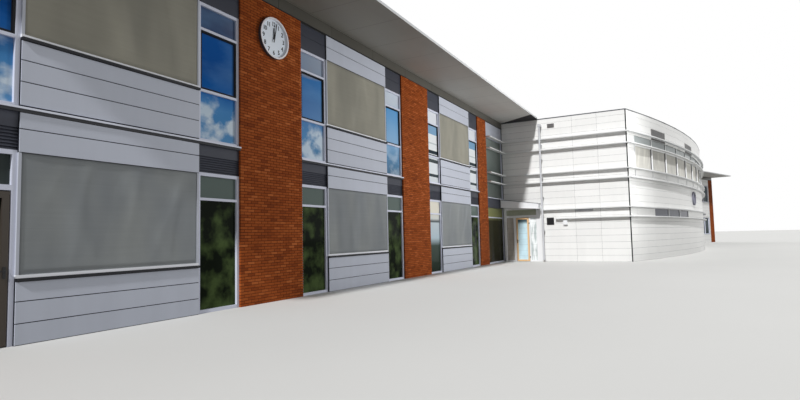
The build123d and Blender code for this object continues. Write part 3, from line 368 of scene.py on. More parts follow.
def brick_paint():
    """Hand-formed brick: every brick has its own tone from the mesh, with sandy grain."""
    paint = Paint("brick", roughness=0.86, Specular_IOR_Level=0.2)
    base = paint.ramp(paint.tint(), (0.0, 118, 55, 23), (0.3, 144, 70, 29), (0.7, 158, 81, 36),
                      (1.0, 182, 101, 53))
    grain = paint.noise(160, 4)
    patch = paint.noise(1.1, 4, (1, 1, 0.7))
    paint.colour(base, paint.times(paint.vary(grain, 0.86, 1.1), paint.vary(patch, 0.92, 1.06)))
    paint.bump(grain, 0.0012, 0.7)
    return paint.material


def mortar_paint():
    paint = Paint("mortar", roughness=0.95, Specular_IOR_Level=0.2)
    grain = paint.noise(120, 4)
    paint.colour(paint.ramp(grain, (0.3, 58, 28, 16), (0.7, 82, 42, 26)))
    paint.bump(grain, 0.001, 0.7)
    return paint.material


def fabric_paint(name, base, light):
    """Screen cloth: a fine weave with level welds, with painted shade that darkens the hollows of its folds
    and lightens their crests.
    """
    paint = Paint(name, roughness=0.8, Sheen_Weight=0.1)
    thread, thread_gap, weld_pitch = 0.0024, 0.0005, 0.38
    threads = [paint.lines(paint.axis(way), thread, thread_gap, softness=0.0005) for way in "ZX"]
    weave = paint.math("MAXIMUM", *threads)
    drift = paint.noise(1.0, 2, (2.0, 2.0, 0.8))
    slub = paint.noise(1.0, 4, (1.5, 1.5, 40))
    welds = paint.lines(paint.axis("Z"), weld_pitch, 0.002, 0.11)
    # Painted shade: the fold height from the mesh darkens the cloth in its hollows and lightens it on its
    # crests.
    hollow = paint.add("ShaderNodeAttribute", attribute_name="fold").outputs["Fac"]
    shade = paint.times(paint.span(weave, 0, 1, 1.0, 0.93), paint.vary(slub, 0.975, 1.02),
                        paint.span(welds, 0, 1, 1.0, 0.95), paint.span(hollow, -0.6, 0.8, 0.93, 1.07))
    paint.colour(paint.mix(paint.span(drift, 0.36, 0.66), base, light), shade)
    paint.bump(weave, 0.0004, 0.3)
    return paint.material


def pane_base(name):
    """Coated window glass, which is dark, with a little gloss and the unevenness of real panes."""
    paint = Paint(name, roughness=0.06, Specular_IOR_Level=0.03)
    paint.bump(paint.noise(0.8, 2), 0.004, 0.15)
    return paint


def pane_paint(name, low, high, top=3.3):
    paint = pane_base(name)
    cloud = paint.noise(1.6, 4, (1, 1, 1.5))
    tint = paint.mix(paint.span(paint.axis("Z"), 0, top), low, high)
    paint.colour(tint, paint.vary(cloud, 0.86, 1.12))
    return paint.material


def column_pane_paint():
    """Panes of the window columns. Upstairs their tones are painted reflections: blue sky with low clouds,
    and the pale block with dark bars beside the corner; downstairs they are nearly black, and greyish in
    the glass bay."""
    paint = pane_base("column_pane")
    height, along = paint.axis("Z"), paint.axis("X")
    wander = paint.math("ADD", height, paint.vary(paint.noise(1.4, 3, (1, 1, 1.6)), -0.05, 0.05))
    # Painted reflections of the sky, deep blue in the first columns and lighter further along.
    deep = paint.ramp(wander, (1.8, 98, 150, 194), (2.2, 70, 132, 190), (2.36, 16, 92, 168),
                      (2.6, 8, 76, 150), (2.97, 12, 84, 160), (3.02, 60, 76, 112), (3.3, 70, 84, 114))
    light = paint.ramp(wander, (1.8, 74, 104, 130), (2.1, 92, 138, 176), (2.4, 138, 178, 214),
                       (2.97, 84, 150, 206), (3.02, 196, 206, 218), (3.3, 206, 212, 220))
    # Painted reflection of the pale block and its dark slats, in the columns beside the corner.
    pale = paint.ramp(height, (1.8, 206, 212, 216), (1.93, 56, 66, 70), (1.99, 216, 222, 226),
                      (2.22, 70, 78, 80), (2.29, 208, 214, 218), (2.4, 44, 54, 60),
                      (2.47, 222, 226, 228), (2.6, 186, 194, 198), (2.63, 222, 226, 228),
                      (2.8, 120, 158, 190), (3.0, 214, 218, 224), (3.3, 214, 218, 224), smooth=False)
    upper = paint.mix(paint.span(along, 2.0, 5.9), deep, light)
    puff = paint.span(paint.noise(3.4, 6, (1, 1, 1.3)), 0.46, 0.6)
    low_cloud_reflection = paint.times(puff, paint.span(wander, 2.2, 2.4, 1.0, 0.0),
                          paint.span(along, 3.9, 5.6, 1.0, 0.35))
    upper = paint.mix(low_cloud_reflection, upper, tone(206, 220, 232))
    veil = paint.span(paint.noise(1.0, 4, (1.2, 1.2, 3)), 0.45, 0.75, 0.0, 0.3)
    upper = paint.mix(veil, upper, tone(120, 170, 214))
    upper = paint.mix(paint.span(along, 6.6, 6.9), upper, pale)
    dark = paint.mix(paint.span(paint.noise(5, 4), 0.42, 0.66), tone(20, 26, 18), tone(72, 88, 52))
    transom = paint.mix(paint.span(along, -0.3, 0.6), tone(34, 38, 40), tone(100, 112, 108))
    lower = paint.mix(paint.span(height, 1.17, 1.2), dark, transom)
    bright = paint.ramp(height, (0.0, 30, 40, 30), (0.55, 60, 74, 66), (0.7, 176, 194, 204),
                        (1.0, 190, 202, 208), (1.03, 60, 70, 74), (1.09, 206, 210, 208),
                        (1.2, 222, 218, 204), (1.47, 222, 218, 204))
    fifth = paint.times(paint.span(along, 7.0, 7.1), paint.span(along, 8.2, 8.3, 1.0, 0.0))
    lower = paint.mix(fifth, lower, bright)
    bay = paint.ramp(height, (0.0, 40, 40, 28), (1.1, 56, 56, 40), (1.2, 140, 142, 96),
                     (1.45, 132, 136, 96), (1.7, 104, 110, 106), (2.4, 100, 110, 106),
                     (3.25, 128, 136, 132))
    tint = paint.mix(paint.span(height, 1.6, 1.62), lower, upper)
    paint.colour(paint.mix(paint.span(along, 10.5, 10.6), tint, bay))
    return paint.material


def block_pane_paint():
    """Panes of the curved block: grey below, dark and warm with painted glints in the porthole, pale in the
    band, and plain dark at the back."""
    paint = pane_base("block_pane")
    cloud = paint.noise(1.6, 4, (1, 1, 1.5))
    # Painted glints: warm and pale specks of reflection in the porthole's pane.
    glints = paint.ramp(paint.noise(11, 2), (0.45, 48, 40, 34), (0.54, 150, 118, 60),
                        (0.62, 214, 206, 190))
    height = paint.axis("Z")
    tint = paint.mix(paint.span(height, 1.45, 1.5), tone(128, 130, 138), glints)
    tint = paint.mix(paint.span(height, 2.1, 2.2), tint, tone(172, 178, 178))
    tint = paint.mix(paint.span(paint.axis("Y"), 3.0, 3.2), tint, tone(84, 100, 106))
    paint.colour(tint, paint.vary(cloud, 0.88, 1.1))
    return paint.material


def entrance_pane_paint():
    """Panes of the entrance: warm grey beside the facade, blue in the door with a dark head,
    pale at the outer side, and olive in the light above; faint level bars behind all."""
    paint = pane_base("entrance_pane")
    height = paint.axis("Z")
    along = paint.times(paint.axis("Y"), -1.0)
    cloud = paint.noise(5, 4, (1, 1, 0.5))
    head = paint.mix(paint.span(height, 1.0, 1.08), tone(206, 234, 244), tone(84, 104, 112))
    streaks = paint.noise(7, 5, (1, 3, 0.4))
    side = paint.ramp(streaks, (0.4, 188, 198, 198), (0.56, 244, 248, 248))
    tint = paint.mix(paint.span(along, 2.76, 2.8), tone(190, 182, 172), head)
    tint = paint.mix(paint.span(along, 3.16, 3.2), tint, side)
    tint = paint.mix(paint.span(height, 1.2, 1.21), tint, tone(182, 186, 166))
    bars = paint.span(paint.lines(height, 0.15, 0.004), 0, 1, 1.0, 0.8)
    paint.colour(tint, paint.times(paint.vary(cloud, 0.88, 1.08), bars))
    return paint.material


def wood_paint(name, dark, light):
    paint = Paint(name, roughness=0.5)
    grain = paint.noise(1.0, 6, (60, 60, 2.5))
    rings = paint.noise(1.0, 2, (18, 18, 0.7))
    mixed = paint.math("ADD", paint.times(grain, 0.6), paint.times(rings, 0.4))
    paint.colour(paint.mix(paint.span(mixed, 0.35, 0.65), dark, light))
    paint.rough(paint.vary(grain, 0.42, 0.6))
    paint.bump(grain, 0.0006, 0.5)
    return paint.material


def slab_paint(name, base):
    paint = Paint(name, roughness=0.9)
    speck = paint.noise(90, 3)
    cloud = paint.noise(1.2, 6)
    paint.colour(base, paint.times(paint.vary(cloud, 0.9, 1.06), paint.vary(speck, 0.94, 1.05)))
    paint.bump(speck, 0.001, 0.4)
    return paint.material


def dial_paint():
    """Enamelled dial with a white rim, and the case's sides painted dark as painted shade: the tone changes
    at the rim's edges.
    """
    paint = Paint("dial", roughness=0.3)
    offset = paint.add("ShaderNodeVectorMath", {0: paint.place, 1: CLOCK}, operation="SUBTRACT")
    flat = paint.add("ShaderNodeVectorMath", {0: offset.outputs[0], 1: (1, 0, 1)}, operation="MULTIPLY")
    radius = paint.add("ShaderNodeVectorMath", {0: flat.outputs[0]}, operation="LENGTH").outputs["Value"]
    face = paint.mix(paint.noise(3, 4), tone(240, 247, 255), tone(226, 236, 250))
    tint = paint.mix(paint.span(radius, 0.2335, 0.2355), face, tone(236, 232, 236))
    # Painted shade: the case's sides beyond the rim are dark.
    side = paint.times(paint.span(paint.normal("Y"), -0.5, -0.4), paint.span(radius, 0.24, 0.244))
    paint.colour(paint.mix(side, tint, tone(70, 66, 74)))
    paint.bump(paint.noise(60, 2), 0.0002, 0.3)
    return paint.material


def string_paint():
    """String course: a light nosing, its tone partly painted sky light, over a dark foot that is painted
    shadow beneath it, and the glass bay's light sill.
    """
    paint = Paint("string_course", roughness=0.4)
    height = paint.axis("Z")
    # Painted shadow: the lower part of the string course is dark, as the shade beneath its nosing.
    drip_shadow = paint.times(paint.span(height, 1.7835, 1.7842, 1.0, 0.0), paint.span(height, 1.752, 1.756))
    cloud = paint.noise(1.3, 4)
    paint.colour(paint.mix(drip_shadow, tone(224, 228, 242), tone(18, 20, 28)), paint.vary(cloud, 0.95, 1.02))
    return paint.material


def guide_paint():
    """Screen rails: light bars at the screens' feet, lighter than the guides partly as painted light from
    the sky, and greyer guides at their sides.
    """
    paint = Paint("guide_paint", roughness=0.38)
    height = paint.axis("Z")
    # Painted light: the foot bars are made lighter, as if lit from the sky above.
    bars = [paint.edge(height, sill + BOTTOM_BAR / 2, 0.013) for sill in (LOWER_SILL, UPPER_SILL)]
    foot = paint.math("MAXIMUM", *bars)
    cloud = paint.noise(1.3, 4)
    paint.colour(paint.mix(foot, tone(184, 188, 199), tone(238, 240, 246)), paint.vary(cloud, 0.95, 1.02))
    return paint.material


white_boards = boards_paint("white_boards", tone(244, 244, 242))
# The facades' boards are the white boards written darker and bluer, as painted shade.
shaded_facade_boards = boards_paint("shaded_facade_boards", tone(194, 199, 212), weather=0.045)
backing = metal_paint("joint_backing", tone(18, 20, 30), roughness=0.85)
wall_backing = metal_paint("wall_backing", tone(116, 116, 120), roughness=0.8)
frame_paint = metal_paint("frame_paint", tone(212, 216, 232))
trim_white = metal_paint("trim_white", tone(244, 245, 246))
canopy_paint = metal_paint("canopy_paint", tone(242, 244, 246))
dark_metal = metal_paint("dark_metal", tone(56, 59, 70), roughness=0.5, mottle=0.12)
fascia_metal = metal_paint("fascia_metal", tone(84, 82, 76), mottle=0.1)
sill_metal = metal_paint("sill_metal", tone(24, 25, 30), roughness=0.6)
coping_metal = metal_paint("coping_metal", tone(92, 95, 100))
slat_metal = metal_paint("slat_metal", tone(230, 231, 231), roughness=0.45)
grey_metal = metal_paint("grey_metal", tone(118, 118, 120))
door_metal = metal_paint("door_metal", tone(66, 59, 52), roughness=0.5)
rim_metal = metal_paint("rim_metal", tone(122, 122, 136))
blade_metal = metal_paint("blade_metal", tone(84, 84, 86))
pipe_metal = metal_paint("pipe_metal", tone(206, 208, 212), roughness=0.35)
black_metal = metal_paint("black_metal", tone(30, 30, 32))
gasket = metal_paint("gasket", tone(14, 15, 20), roughness=0.85)
vent_metal = metal_paint("vent_metal", tone(136, 134, 132))
brick = brick_paint()
upper_cloth = fabric_paint("upper_cloth", tone(144, 142, 131), tone(160, 157, 144))
lower_cloth = fabric_paint("lower_cloth", tone(132, 137, 141), tone(148, 152, 152))
band_cloth = fabric_paint("band_cloth", tone(212, 210, 203), tone(228, 226, 217))
dark_pane = pane_paint("dark_pane", tone(40, 50, 50), tone(74, 92, 96))
garden_pane = pane_paint("garden_pane", tone(30, 28, 20), tone(20, 24, 20), 1.2)
oak = wood_paint("oak", tone(222, 176, 126), tone(244, 208, 162))
slab = slab_paint("slab", tone(176, 175, 170))

FINISH = {
    wall_backing: ["gable_wall", "end_wall", "end_wall_over_entrance", "party_wall", "block_back_wall",
                   "block_last_wall", "far_front_wall", "far_end_wall", "far_back_wall",
                   *[f"curved_wall_{index}" for index in range(1, 6)]],
    backing: ["boarded_panels"],
    mortar_paint(): ["brick_piers"],
    frame_paint: ["column_frames", "garden_door_frame", "glass_bay_wall"],
    guide_paint(): ["screen_guides"],
    trim_white: ["entrance_frame", "wall_lamp", "slat_brackets"],
    canopy_paint: ["entrance_canopy"],
    string_paint(): ["string_course"],
    sill_metal: ["wide_window_frames"],
    dark_metal: ["dark_panels"],
    fascia_metal: ["fascia_band"],
    coping_metal: ["coping"],
    roof_paint(): ["wing_roof", "far_roof"],
    slat_metal: ["end_wall_slats", "glass_bay_slats", "curved_slats"],
    grey_metal: ["door_hinges"],
    rim_metal: ["porthole_rim"],
    door_metal: ["garden_door_leaf"],
    pipe_metal: ["downpipe"],
    black_metal: ["garden_door_handle", "entrance_door_handle", "hour_hand", "minute_hand", "blank_plate"],
    vent_metal: ["wall_vent"],
    upper_cloth: ["upper_sunscreens"],
    lower_cloth: ["lower_sunscreens"],
    band_cloth: ["band_screens"],
    column_pane_paint(): ["column_glass"],
    dark_pane: ["wide_window_glass", "far_window_glass"],
    block_pane_paint(): ["block_glass"],
    entrance_pane_paint(): ["entrance_glass", "entrance_door_glass"],
    garden_pane: ["garden_door_glass"],
    oak: ["entrance_door_leaf"],
    slab: ["ground_slabs", "first_floors", "block_roof"],
    dial_paint(): ["clock_case"],
}
for material, names in FINISH.items():
    for name in names:
        nodes[name].data.materials.clear()
        nodes[name].data.materials.append(material)


def piece(name, points, faces, material, bevel=0.0):
    """A mesh object that rides on the building, with its faces turned outwards."""
    data = bpy.data.meshes.new(name)
    data.from_pydata(points, [], faces)
    shape = bmesh.new()
    shape.from_mesh(data)
    bmesh.ops.recalc_face_normals(shape, faces=shape.faces)
    shape.to_mesh(data)
    shape.free()
    data.materials.append(material)
    made = link(bpy.data.objects.new(name, data))
    if bevel:
        edges = made.modifiers.new("bevel", "BEVEL")
        edges.width = bevel
        edges.segments = 2
    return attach(made, "building")


class Blocks:
    """Collects bars and boards, each in its own axes, into one mesh."""

    def __init__(self):
        self.points, self.faces, self.tints = [], [], []

    def add(self, low, high, slope, place, tint=0.5, steps=1):
        """A box between two corners, smaller all round by the slope at its outer face, at low y.
        It is divided along x where its axes are curved."""
        x0, y0, z0 = low
        x1, y1, z1 = high
        base = len(self.points)
        for step in range(steps + 1):
            x = x0 + (x1 - x0) * step / steps
            outer = x + slope if step == 0 else x - slope if step == steps else x
            corners = [(outer, y0, z0 + slope), (outer, y0, z1 - slope), (x, y1, z1), (x, y1, z0)]
            self.points += [place(*corner) for corner in corners]
        quads = [(0, 1, 2, 3), tuple(4 * steps + corner for corner in (3, 2, 1, 0))]
        for step in range(steps):
            first = 4 * step
            quads += [(first + a, first + 4 + a, first + 4 + b, first + b)
                      for a, b in ((0, 1), (1, 2), (2, 3), (3, 0))]
        self.faces += [tuple(base + corner for corner in quad) for quad in quads]
        self.tints += [tint] * len(quads)

    def make(self, name, material, slot, bevel=0.0):
        made = piece(name, self.points, self.faces, material, bevel)
        tints = made.data.attributes.new("tint", "FLOAT", "FACE")
        tints.data.foreach_set("value", self.tints)
        return made


# Axes of each wall: x runs along it, y into it from its face, z up

def flat_side(start, heading, inward=1):
    """A flat wall from where it starts, headed in degrees from +X towards +Y, with its inside on
    the left, or on the right where inward is -1."""
    turn = radians(heading)

    def place(x, y, z):
        y *= inward
        return (start[0] + x * cos(turn) - y * sin(turn), start[1] + x * sin(turn) + y * cos(turn), z)

    return place


def arc_side(x, y, z):
    """Curved wall: x is the length along it from its crown."""
    turn = x / ARC_RADIUS
    radius = ARC_RADIUS - y
    return (ARC_CENTRE[0] + radius * sin(turn), ARC_CENTRE[1] - radius * cos(turn), z)


def along_arc(angle):
    return radians(angle) * ARC_RADIUS


def cell_side(angle):
    """Flat axes that touch the curved wall at an angle from its crown."""
    return flat_side(arc_side(along_arc(angle), 0, 0), angle)


garden_side = flat_side((0, FACADE), 0)
back_side = flat_side((0, -FACADE), 0, inward=-1)
gable_side = flat_side((WING_LEFT, 0), 90, inward=-1)
end_side = flat_side((WING_RIGHT, 0), -90)
block_back_side = flat_side((0, BLOCK_BACK), 0, inward=-1)
far_side = flat_side(arc_side(along_arc(ARC_END), 0, 0), -FAR_TURN)
far_end_side = flat_side(far_side(FAR_LENGTH, 0, 0), 90 - FAR_TURN)
far_back_side = flat_side(far_side(0, FAR_DEPTH, 0), -FAR_TURN, inward=-1)
last_side = flat_side(far_side(0, 0, 0), 90 - FAR_TURN)


def canopy_side(x, y, z):
    """End wall's axes with z from 0 at the canopy's foot to 1 at its head, which both fall."""
    fall = (x - ENTRANCE_START) / ENTRANCE_WIDTH
    foot, head = ENTRANCE_HEAD - CANOPY_FOOT_FALL * fall, CANOPY_HEAD - CANOPY_HEAD_FALL * fall
    return end_side(x, y, foot + z * (head - foot))


def set_back(side, depth):
    """A wall's axes for a face that lies deeper."""

    def place(x, y, z):
        return side(x, y + depth, z)

    return place


# Bricks in running bond over the piers, a little proud of the mortar
BRICK_LENGTH, BRICK_JOINT, COURSE = 0.1095, 0.005, STOREY / 54
BRICK_PROUD, BRICK_RETURN, BRICK_OVER, COURSES = 0.003, 0.024, 0.0015, 110


def lay_bricks(blocks, left, width, place, rng):
    """Courses up to the fascia, whose end bricks return round the pier's corners."""
    count = max(1, round(width / BRICK_LENGTH))
    pitch = width / count
    for course in range(COURSES):
        bottom = course * COURSE
        top = min(bottom + COURSE - BRICK_JOINT, BAND_BOTTOM)
        starts = [step * pitch for step in range(count)]
        if course % 2:
            starts = [0, *[start + pitch / 2 for start in starts]]
        ends = [*starts[1:], width]
        for start, end in zip(starts, ends):
            first, last = start == 0, end == width
            low = (left + start + (-BRICK_OVER if first else BRICK_JOINT / 2), -BRICK_PROUD, bottom)
            deep = BRICK_RETURN if first or last else 0.001
            high = (left + end + (BRICK_OVER if last else -BRICK_JOINT / 2), deep, top)
            blocks.add(low, high, 0.0008, place, rng.betavariate(2.2, 2.2))


BRICKWORK = (
    ("garden_bricks", garden_side, PIERS, 3),
    ("back_bricks", back_side, PIERS, 4),
    ("gable_bricks", gable_side, ((FACADE, WALL), (-FACADE - WALL, WALL)), 5),
    ("far_bricks", far_side, ((FAR_LENGTH - FAR_PIER, FAR_PIER),), 6),
    ("far_end_bricks", far_end_side, ((0, WALL),), 7),
)
for name, place, widths, seed in BRICKWORK:
    blocks = Blocks()
    rng = random.Random(seed)
    for left, width in widths:
        lay_bricks(blocks, left, width, place, rng)
    blocks.make(name, brick, "brick")

# Boards over the panels of the wing, with open joints between them
TOP_JOINT = 3.4875
BOARD_LEVELS = (
    (0.0, 0.16, 0.3235, 0.473),
    (LOWER_HEAD, 1.6315, 1.76),
    (STOREY + 0.012, 1.998, 2.1665, 2.321),
    (UPPER_HEAD, TOP_JOINT, BAND_BOTTOM),
)
BOARD_JOINT, PANEL_JOINT = 0.004, 0.006
for name, place, seed in (("garden_boards", garden_side, 11), ("back_boards", back_side, 12)):
    blocks = Blocks()
    rng = random.Random(seed)
    for start in PANEL_STARTS:
        for levels in BOARD_LEVELS:
            for bottom, top in zip(levels, levels[1:]):
                low = (start + 0.001, 0.0, bottom + PANEL_JOINT / 2)
                high = (start + PANEL_WIDTH - 0.001, BOARD_RECESS, top - PANEL_JOINT / 2)
                blocks.add(low, high, 0.0012, place, rng.random())
    blocks.make(name, shaded_facade_boards, "boards_white")

# Boards over the other walls
BOARD_PITCH, BOARD_PHASE, BOARD_PROUD, ARC_STEP = 0.168, 0.16, 0.004, 0.28


def levels_to(top):
    """Heights of a wall's level joints, with its foot and its top."""
    count = round((top - BOARD_PHASE) / BOARD_PITCH) + 1
    joints = [BOARD_PHASE + index * BOARD_PITCH for index in range(count)]
    return [0.0, *[level for level in joints if level < top - 0.03], top]


def clad(blocks, spans, levels, holes, place, rng, curved=False):
    """Rows of boards over a wall, cut round its holes."""
    for bottom, top in zip(levels, levels[1:]):
        low, high = bottom + BOARD_JOINT / 2, top - BOARD_JOINT / 2
        cuts = sorted({low, high} | {edge for hole in holes for edge in hole[2:] if low < edge < high})
        for start, end in spans:
            tint = rng.random()
            for foot, head in zip(cuts, cuts[1:]):
                at = start + BOARD_JOINT / 2
                crossed = sorted(hole for hole in holes if hole[2] < head - 1e-6 and hole[3] > foot + 1e-6)
                stops = [(max(hole[0], at), hole[1]) for hole in crossed if hole[1] > at and hole[0] < end]
                for left, right in [*stops, (end - BOARD_JOINT / 2, None)]:
                    if left - at > 0.004:
                        steps = max(1, round((left - at) / ARC_STEP)) if curved else 1
                        blocks.add((at, -BOARD_PROUD, foot), (left, 0.0, head), 0.0, place, tint, steps)
                    at = max(at, right or end)


def last_corner(depth):
    """Length of the last wall, at a depth inside its face, up to the back wall's same depth."""
    return (BLOCK_BACK - depth - last_side(0, depth, 0)[1]) / cos(radians(FAR_TURN))


def window_rows(start, end, width, count):
    """Windows of both storeys, evenly spaced between two ends of a wall."""
    margin = (end - start - count * width) / (count + 1)
    lefts = [start + margin + index * (width + margin) for index in range(count)]
    return [(left, left + width, sill, head) for left in lefts for sill, head in STOREYS]


# Openings, each (left, right, bottom, top) on its wall
back_windows = window_rows(WING_RIGHT + WALL, last_side(last_corner(WALL), WALL, 0)[0], width=1.6, count=6)
far_windows = window_rows(0, FAR_LENGTH - FAR_PIER, width=1.3, count=3)
last_length = last_corner(0)
back_corner = last_side(last_length, 0, 0)[0]
light_starts = [along_arc(GRID_START + index * GRID_ANGLE) for index in range(LIGHT_COUNT + 1)]
arc_joints = [along_arc(ARC_START), *light_starts, along_arc(ARC_END)]
arc_holes = [(light_starts[0] - POST_HALF, light_starts[-1] + POST_HALF, BAND_SILL, BAND_HEAD)]
for cell in CLERESTORY_FIRSTS:
    left, right = light_starts[cell] + POST_HALF, light_starts[cell + CLERESTORY_LIGHTS] - POST_HALF
    arc_holes.append((left, right, CLERESTORY_SILL, CLERESTORY_HEAD))
strip, strips = 0.03, 7  # the round porthole is cut out in level strips
for index in range(-strips, strips):
    near = min(abs(index), abs(index + 1)) * strip
    if near < PORTHOLE_CLEAR:
        reach = (PORTHOLE_CLEAR**2 - near**2) ** 0.5
        middle, foot = along_arc(PORTHOLE_ANGLE), PORTHOLE_LEVEL + index * strip
        arc_holes.append((middle - reach, middle + reach, foot, foot + strip))


def in_spans(start, end, pitch):
    count = max(1, round((end - start) / pitch))
    edges = [start + (end - start) * index / count for index in range(count + 1)]
    return list(zip(edges, edges[1:]))


# Each wall's axes, its stretches between upright joints, its top and its openings
block_corner = -BLOCK_FRONT
end_stops = (ENTRANCE_START, *END_JOINTS, block_corner)
entrance_hole = (ENTRANCE_START, ENTRANCE_START + ENTRANCE_WIDTH, 0, ENTRANCE_HEAD)
CLADDING = (
    ("gable_boards", gable_side, in_spans(FACADE + WALL, -FACADE - WALL, 1.6), SOFFIT, ()),
    ("end_wall_boards", end_side, tuple(zip(end_stops, end_stops[1:])), PARAPET, [entrance_hole]),
    ("party_wall_boards", end_side, ((-BLOCK_BACK, FACADE),), PARAPET, ()),
    ("block_back_boards", block_back_side, in_spans(WING_RIGHT, back_corner, 1.9), PARAPET, back_windows),
    ("block_last_boards", last_side, in_spans(FAR_DEPTH, last_length, 1.8), PARAPET, ()),
    ("far_front_boards", far_side, in_spans(0, FAR_LENGTH - FAR_PIER, 1.45), BAND_BOTTOM, far_windows),
    ("far_end_boards", far_end_side, in_spans(WALL, FAR_DEPTH, 1.3), SOFFIT, ()),
    ("far_back_boards", far_back_side, in_spans(0, FAR_LENGTH, 1.45), SOFFIT, far_windows),
)
for seed, (name, place, spans, top, holes) in enumerate(CLADDING):
    blocks = Blocks()
    clad(blocks, spans, levels_to(top), holes, place, random.Random(20 + seed))
    blocks.make(name, white_boards, "boards_white")

blocks = Blocks()
clad(blocks, list(zip(arc_joints, arc_joints[1:])), levels_to(PARAPET), arc_holes, arc_side,
     random.Random(31), curved=True)
blocks.make("curved_boards", white_boards, "boards_white")

blocks = Blocks()
for side in (garden_side, back_side):
    clad(blocks, ((GLASS_BAY_START, WING_RIGHT),), (GLASS_BAY_HEAD, TOP_JOINT, BAND_BOTTOM), (),
         set_back(side, COLUMN_RECESS), random.Random(41))
blocks.make("glass_bay_boards", shaded_facade_boards, "boards_white")

# Posts and sills of the block's window band and clerestory
POST_PROUD, BAND_DEPTH, CLERESTORY_DEPTH = 0.006, 0.06, 0.016
posts = [(x, BAND_DEPTH, BAND_SILL, BAND_HEAD) for x in light_starts]
posts += [(light_starts[first + step], CLERESTORY_DEPTH, CLERESTORY_SILL, CLERESTORY_HEAD)
          for first in CLERESTORY_FIRSTS for step in range(1, CLERESTORY_LIGHTS)]
sills = [(0, LIGHT_COUNT, BAND_SILL)]
sills += [(first, first + CLERESTORY_LIGHTS, CLERESTORY_SILL) for first in CLERESTORY_FIRSTS]
blocks = Blocks()
for x, depth, sill, head in posts:
    blocks.add((x - POST_HALF, -POST_PROUD, sill), (x + POST_HALF, depth, head), 0.001, arc_side)
for first, last, level in sills:
    blocks.add((light_starts[first], -0.016, level - 0.014), (light_starts[last], 0.012, level), 0.001,
               arc_side, steps=4 * (last - first))
blocks.make("band_posts", slat_metal, "slat")

# Cassettes and foot bars of the block's screens, and every screen as stretched cloth
blocks = Blocks()
half_width = (ARC_RADIUS - BAND_DEPTH) * tan(radians(GRID_ANGLE / 2) - POST_HALF / ARC_RADIUS)
for index in range(LIGHT_COUNT):
    place = cell_side(GRID_START + (index + 0.5) * GRID_ANGLE)
    blocks.add((-half_width, 0.008, CASSETTE_FOOT), (half_width, BAND_DEPTH, CASSETTE_TOP), 0.006, place)
    blocks.add((-half_width, 0.022, BAND_SILL), (half_width, 0.038, BAND_SILL + FOOT_BAR), 0.003, place)
cassettes = blocks.make("band_cassettes", slat_metal, "slat")
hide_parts("band_screens")


def blind(name, place, edges, depth, material, node, seed, swing=0.005, grid=(60, 18)):
    """A screen held at its edges, with slack folds between them: each fold has its count across
    the cloth, its lean, its phase and its size."""
    left, right, bottom, top = edges
    columns, rows = grid
    rng = random.Random(seed)
    folds = [(rng.uniform(1.2, 3.6), rng.uniform(-0.9, 0.9), rng.uniform(0, pi), rng.uniform(0.5, 1.0))
             for _ in range(4)]
    total = sum(size for *_, size in folds)
    points, crests = [], []
    for row in range(rows + 1):
        v = row / rows
        for column in range(columns + 1):
            u = column / columns
            held = min(1.0, 7 * u, 7 * (1 - u)) * min(1.0, 6 * v, 4 * (1 - v) + 0.25)
            wave = sum(size * (1 - 2 * abs(sin(pi * (count * u + lean * v) + phase)))
                       for count, lean, phase, size in folds)
            x = left + u * (right - left)
            crest = held * sin(3.4 * wave / total)
            points.append(place(x, depth - swing * crest, bottom + v * (top - bottom)))
            crests.append(crest)
    across = columns + 1
    faces = [(row * across + column, row * across + column + 1,
              (row + 1) * across + column + 1, (row + 1) * across + column)
             for row in range(rows) for column in range(columns)]
    made = piece(name, points, faces, material)
    # The fold height goes on the mesh, where the cloth's painted shade reads it.
    made.data.attributes.new("fold", "FLOAT", "POINT").data.foreach_set("value", crests)
    made.data.shade_smooth()
    cloth = made.modifiers.new("cloth", "SOLIDIFY")
    cloth.thickness = 0.0012
    cloth.offset = 0
    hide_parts(node)


TUCK = 0.004
for storey, (sill, head), material in zip(("lower", "upper"), STOREYS, (lower_cloth, upper_cloth)):
    for side, place in (("garden", garden_side), ("back", back_side)):
        for index, start in enumerate(PANEL_STARTS):
            edges = (start + GUIDE_WIDTH - TUCK, start + PANEL_WIDTH - GUIDE_WIDTH + TUCK,
                     sill + BOTTOM_BAR - TUCK, head)
            seed = 50 + index + (10 if storey == "upper" else 0) + (20 if side == "back" else 0)
            blind(f"{side}_{storey}_screen_{index + 1}", place, edges, BOARD_RECESS + 0.006, material,
                  f"{storey}_sunscreens", seed)
for index in range(LIGHT_COUNT):
    place = cell_side(GRID_START + (index + 0.5) * GRID_ANGLE)
    edges = (-half_width, half_width, BAND_SILL + FOOT_BAR - TUCK, CASSETTE_FOOT + TUCK)
    blind(f"band_screen_{index + 1}", place, edges, 0.029, band_cloth, "band_screens",
          90 + index, swing=0.003, grid=(30, 14))

# Upper columns: dark rings of the opening casements, and two sheets over the dark panel above
casements, sheets = Blocks(), Blocks()
for side in (garden_side, back_side):
    place = set_back(side, COLUMN_RECESS)
    for start in COLUMNS:
        left, right = start + FRAME_FACE, start + COLUMN_WIDTH - FRAME_FACE
        bottom, top = UPPER_RAIL + RAIL_HALF, UPPER_TRANSOM - RAIL_HALF
        ring = 0.022
        for x0, x1, z0, z1 in ((left, left + ring, bottom, top), (right - ring, right, bottom, top),
                               (left + ring, right - ring, bottom, bottom + ring),
                               (left + ring, right - ring, top - ring, top)):
            casements.add((x0, 0.006, z0), (x1, 0.026, z1), 0.002, place)
        for foot, head in ((UPPER_HEAD, TOP_JOINT), (TOP_JOINT, BAND_BOTTOM)):
            low = (start + 0.003, -0.005, foot + 0.002)
            sheets.add(low, (start + COLUMN_WIDTH - 0.003, 0.0, head - 0.002), 0.001, place)
casements.make("casements", gasket, "dark_panel")
sheets.make("dark_sheets", dark_metal, "dark_panel")

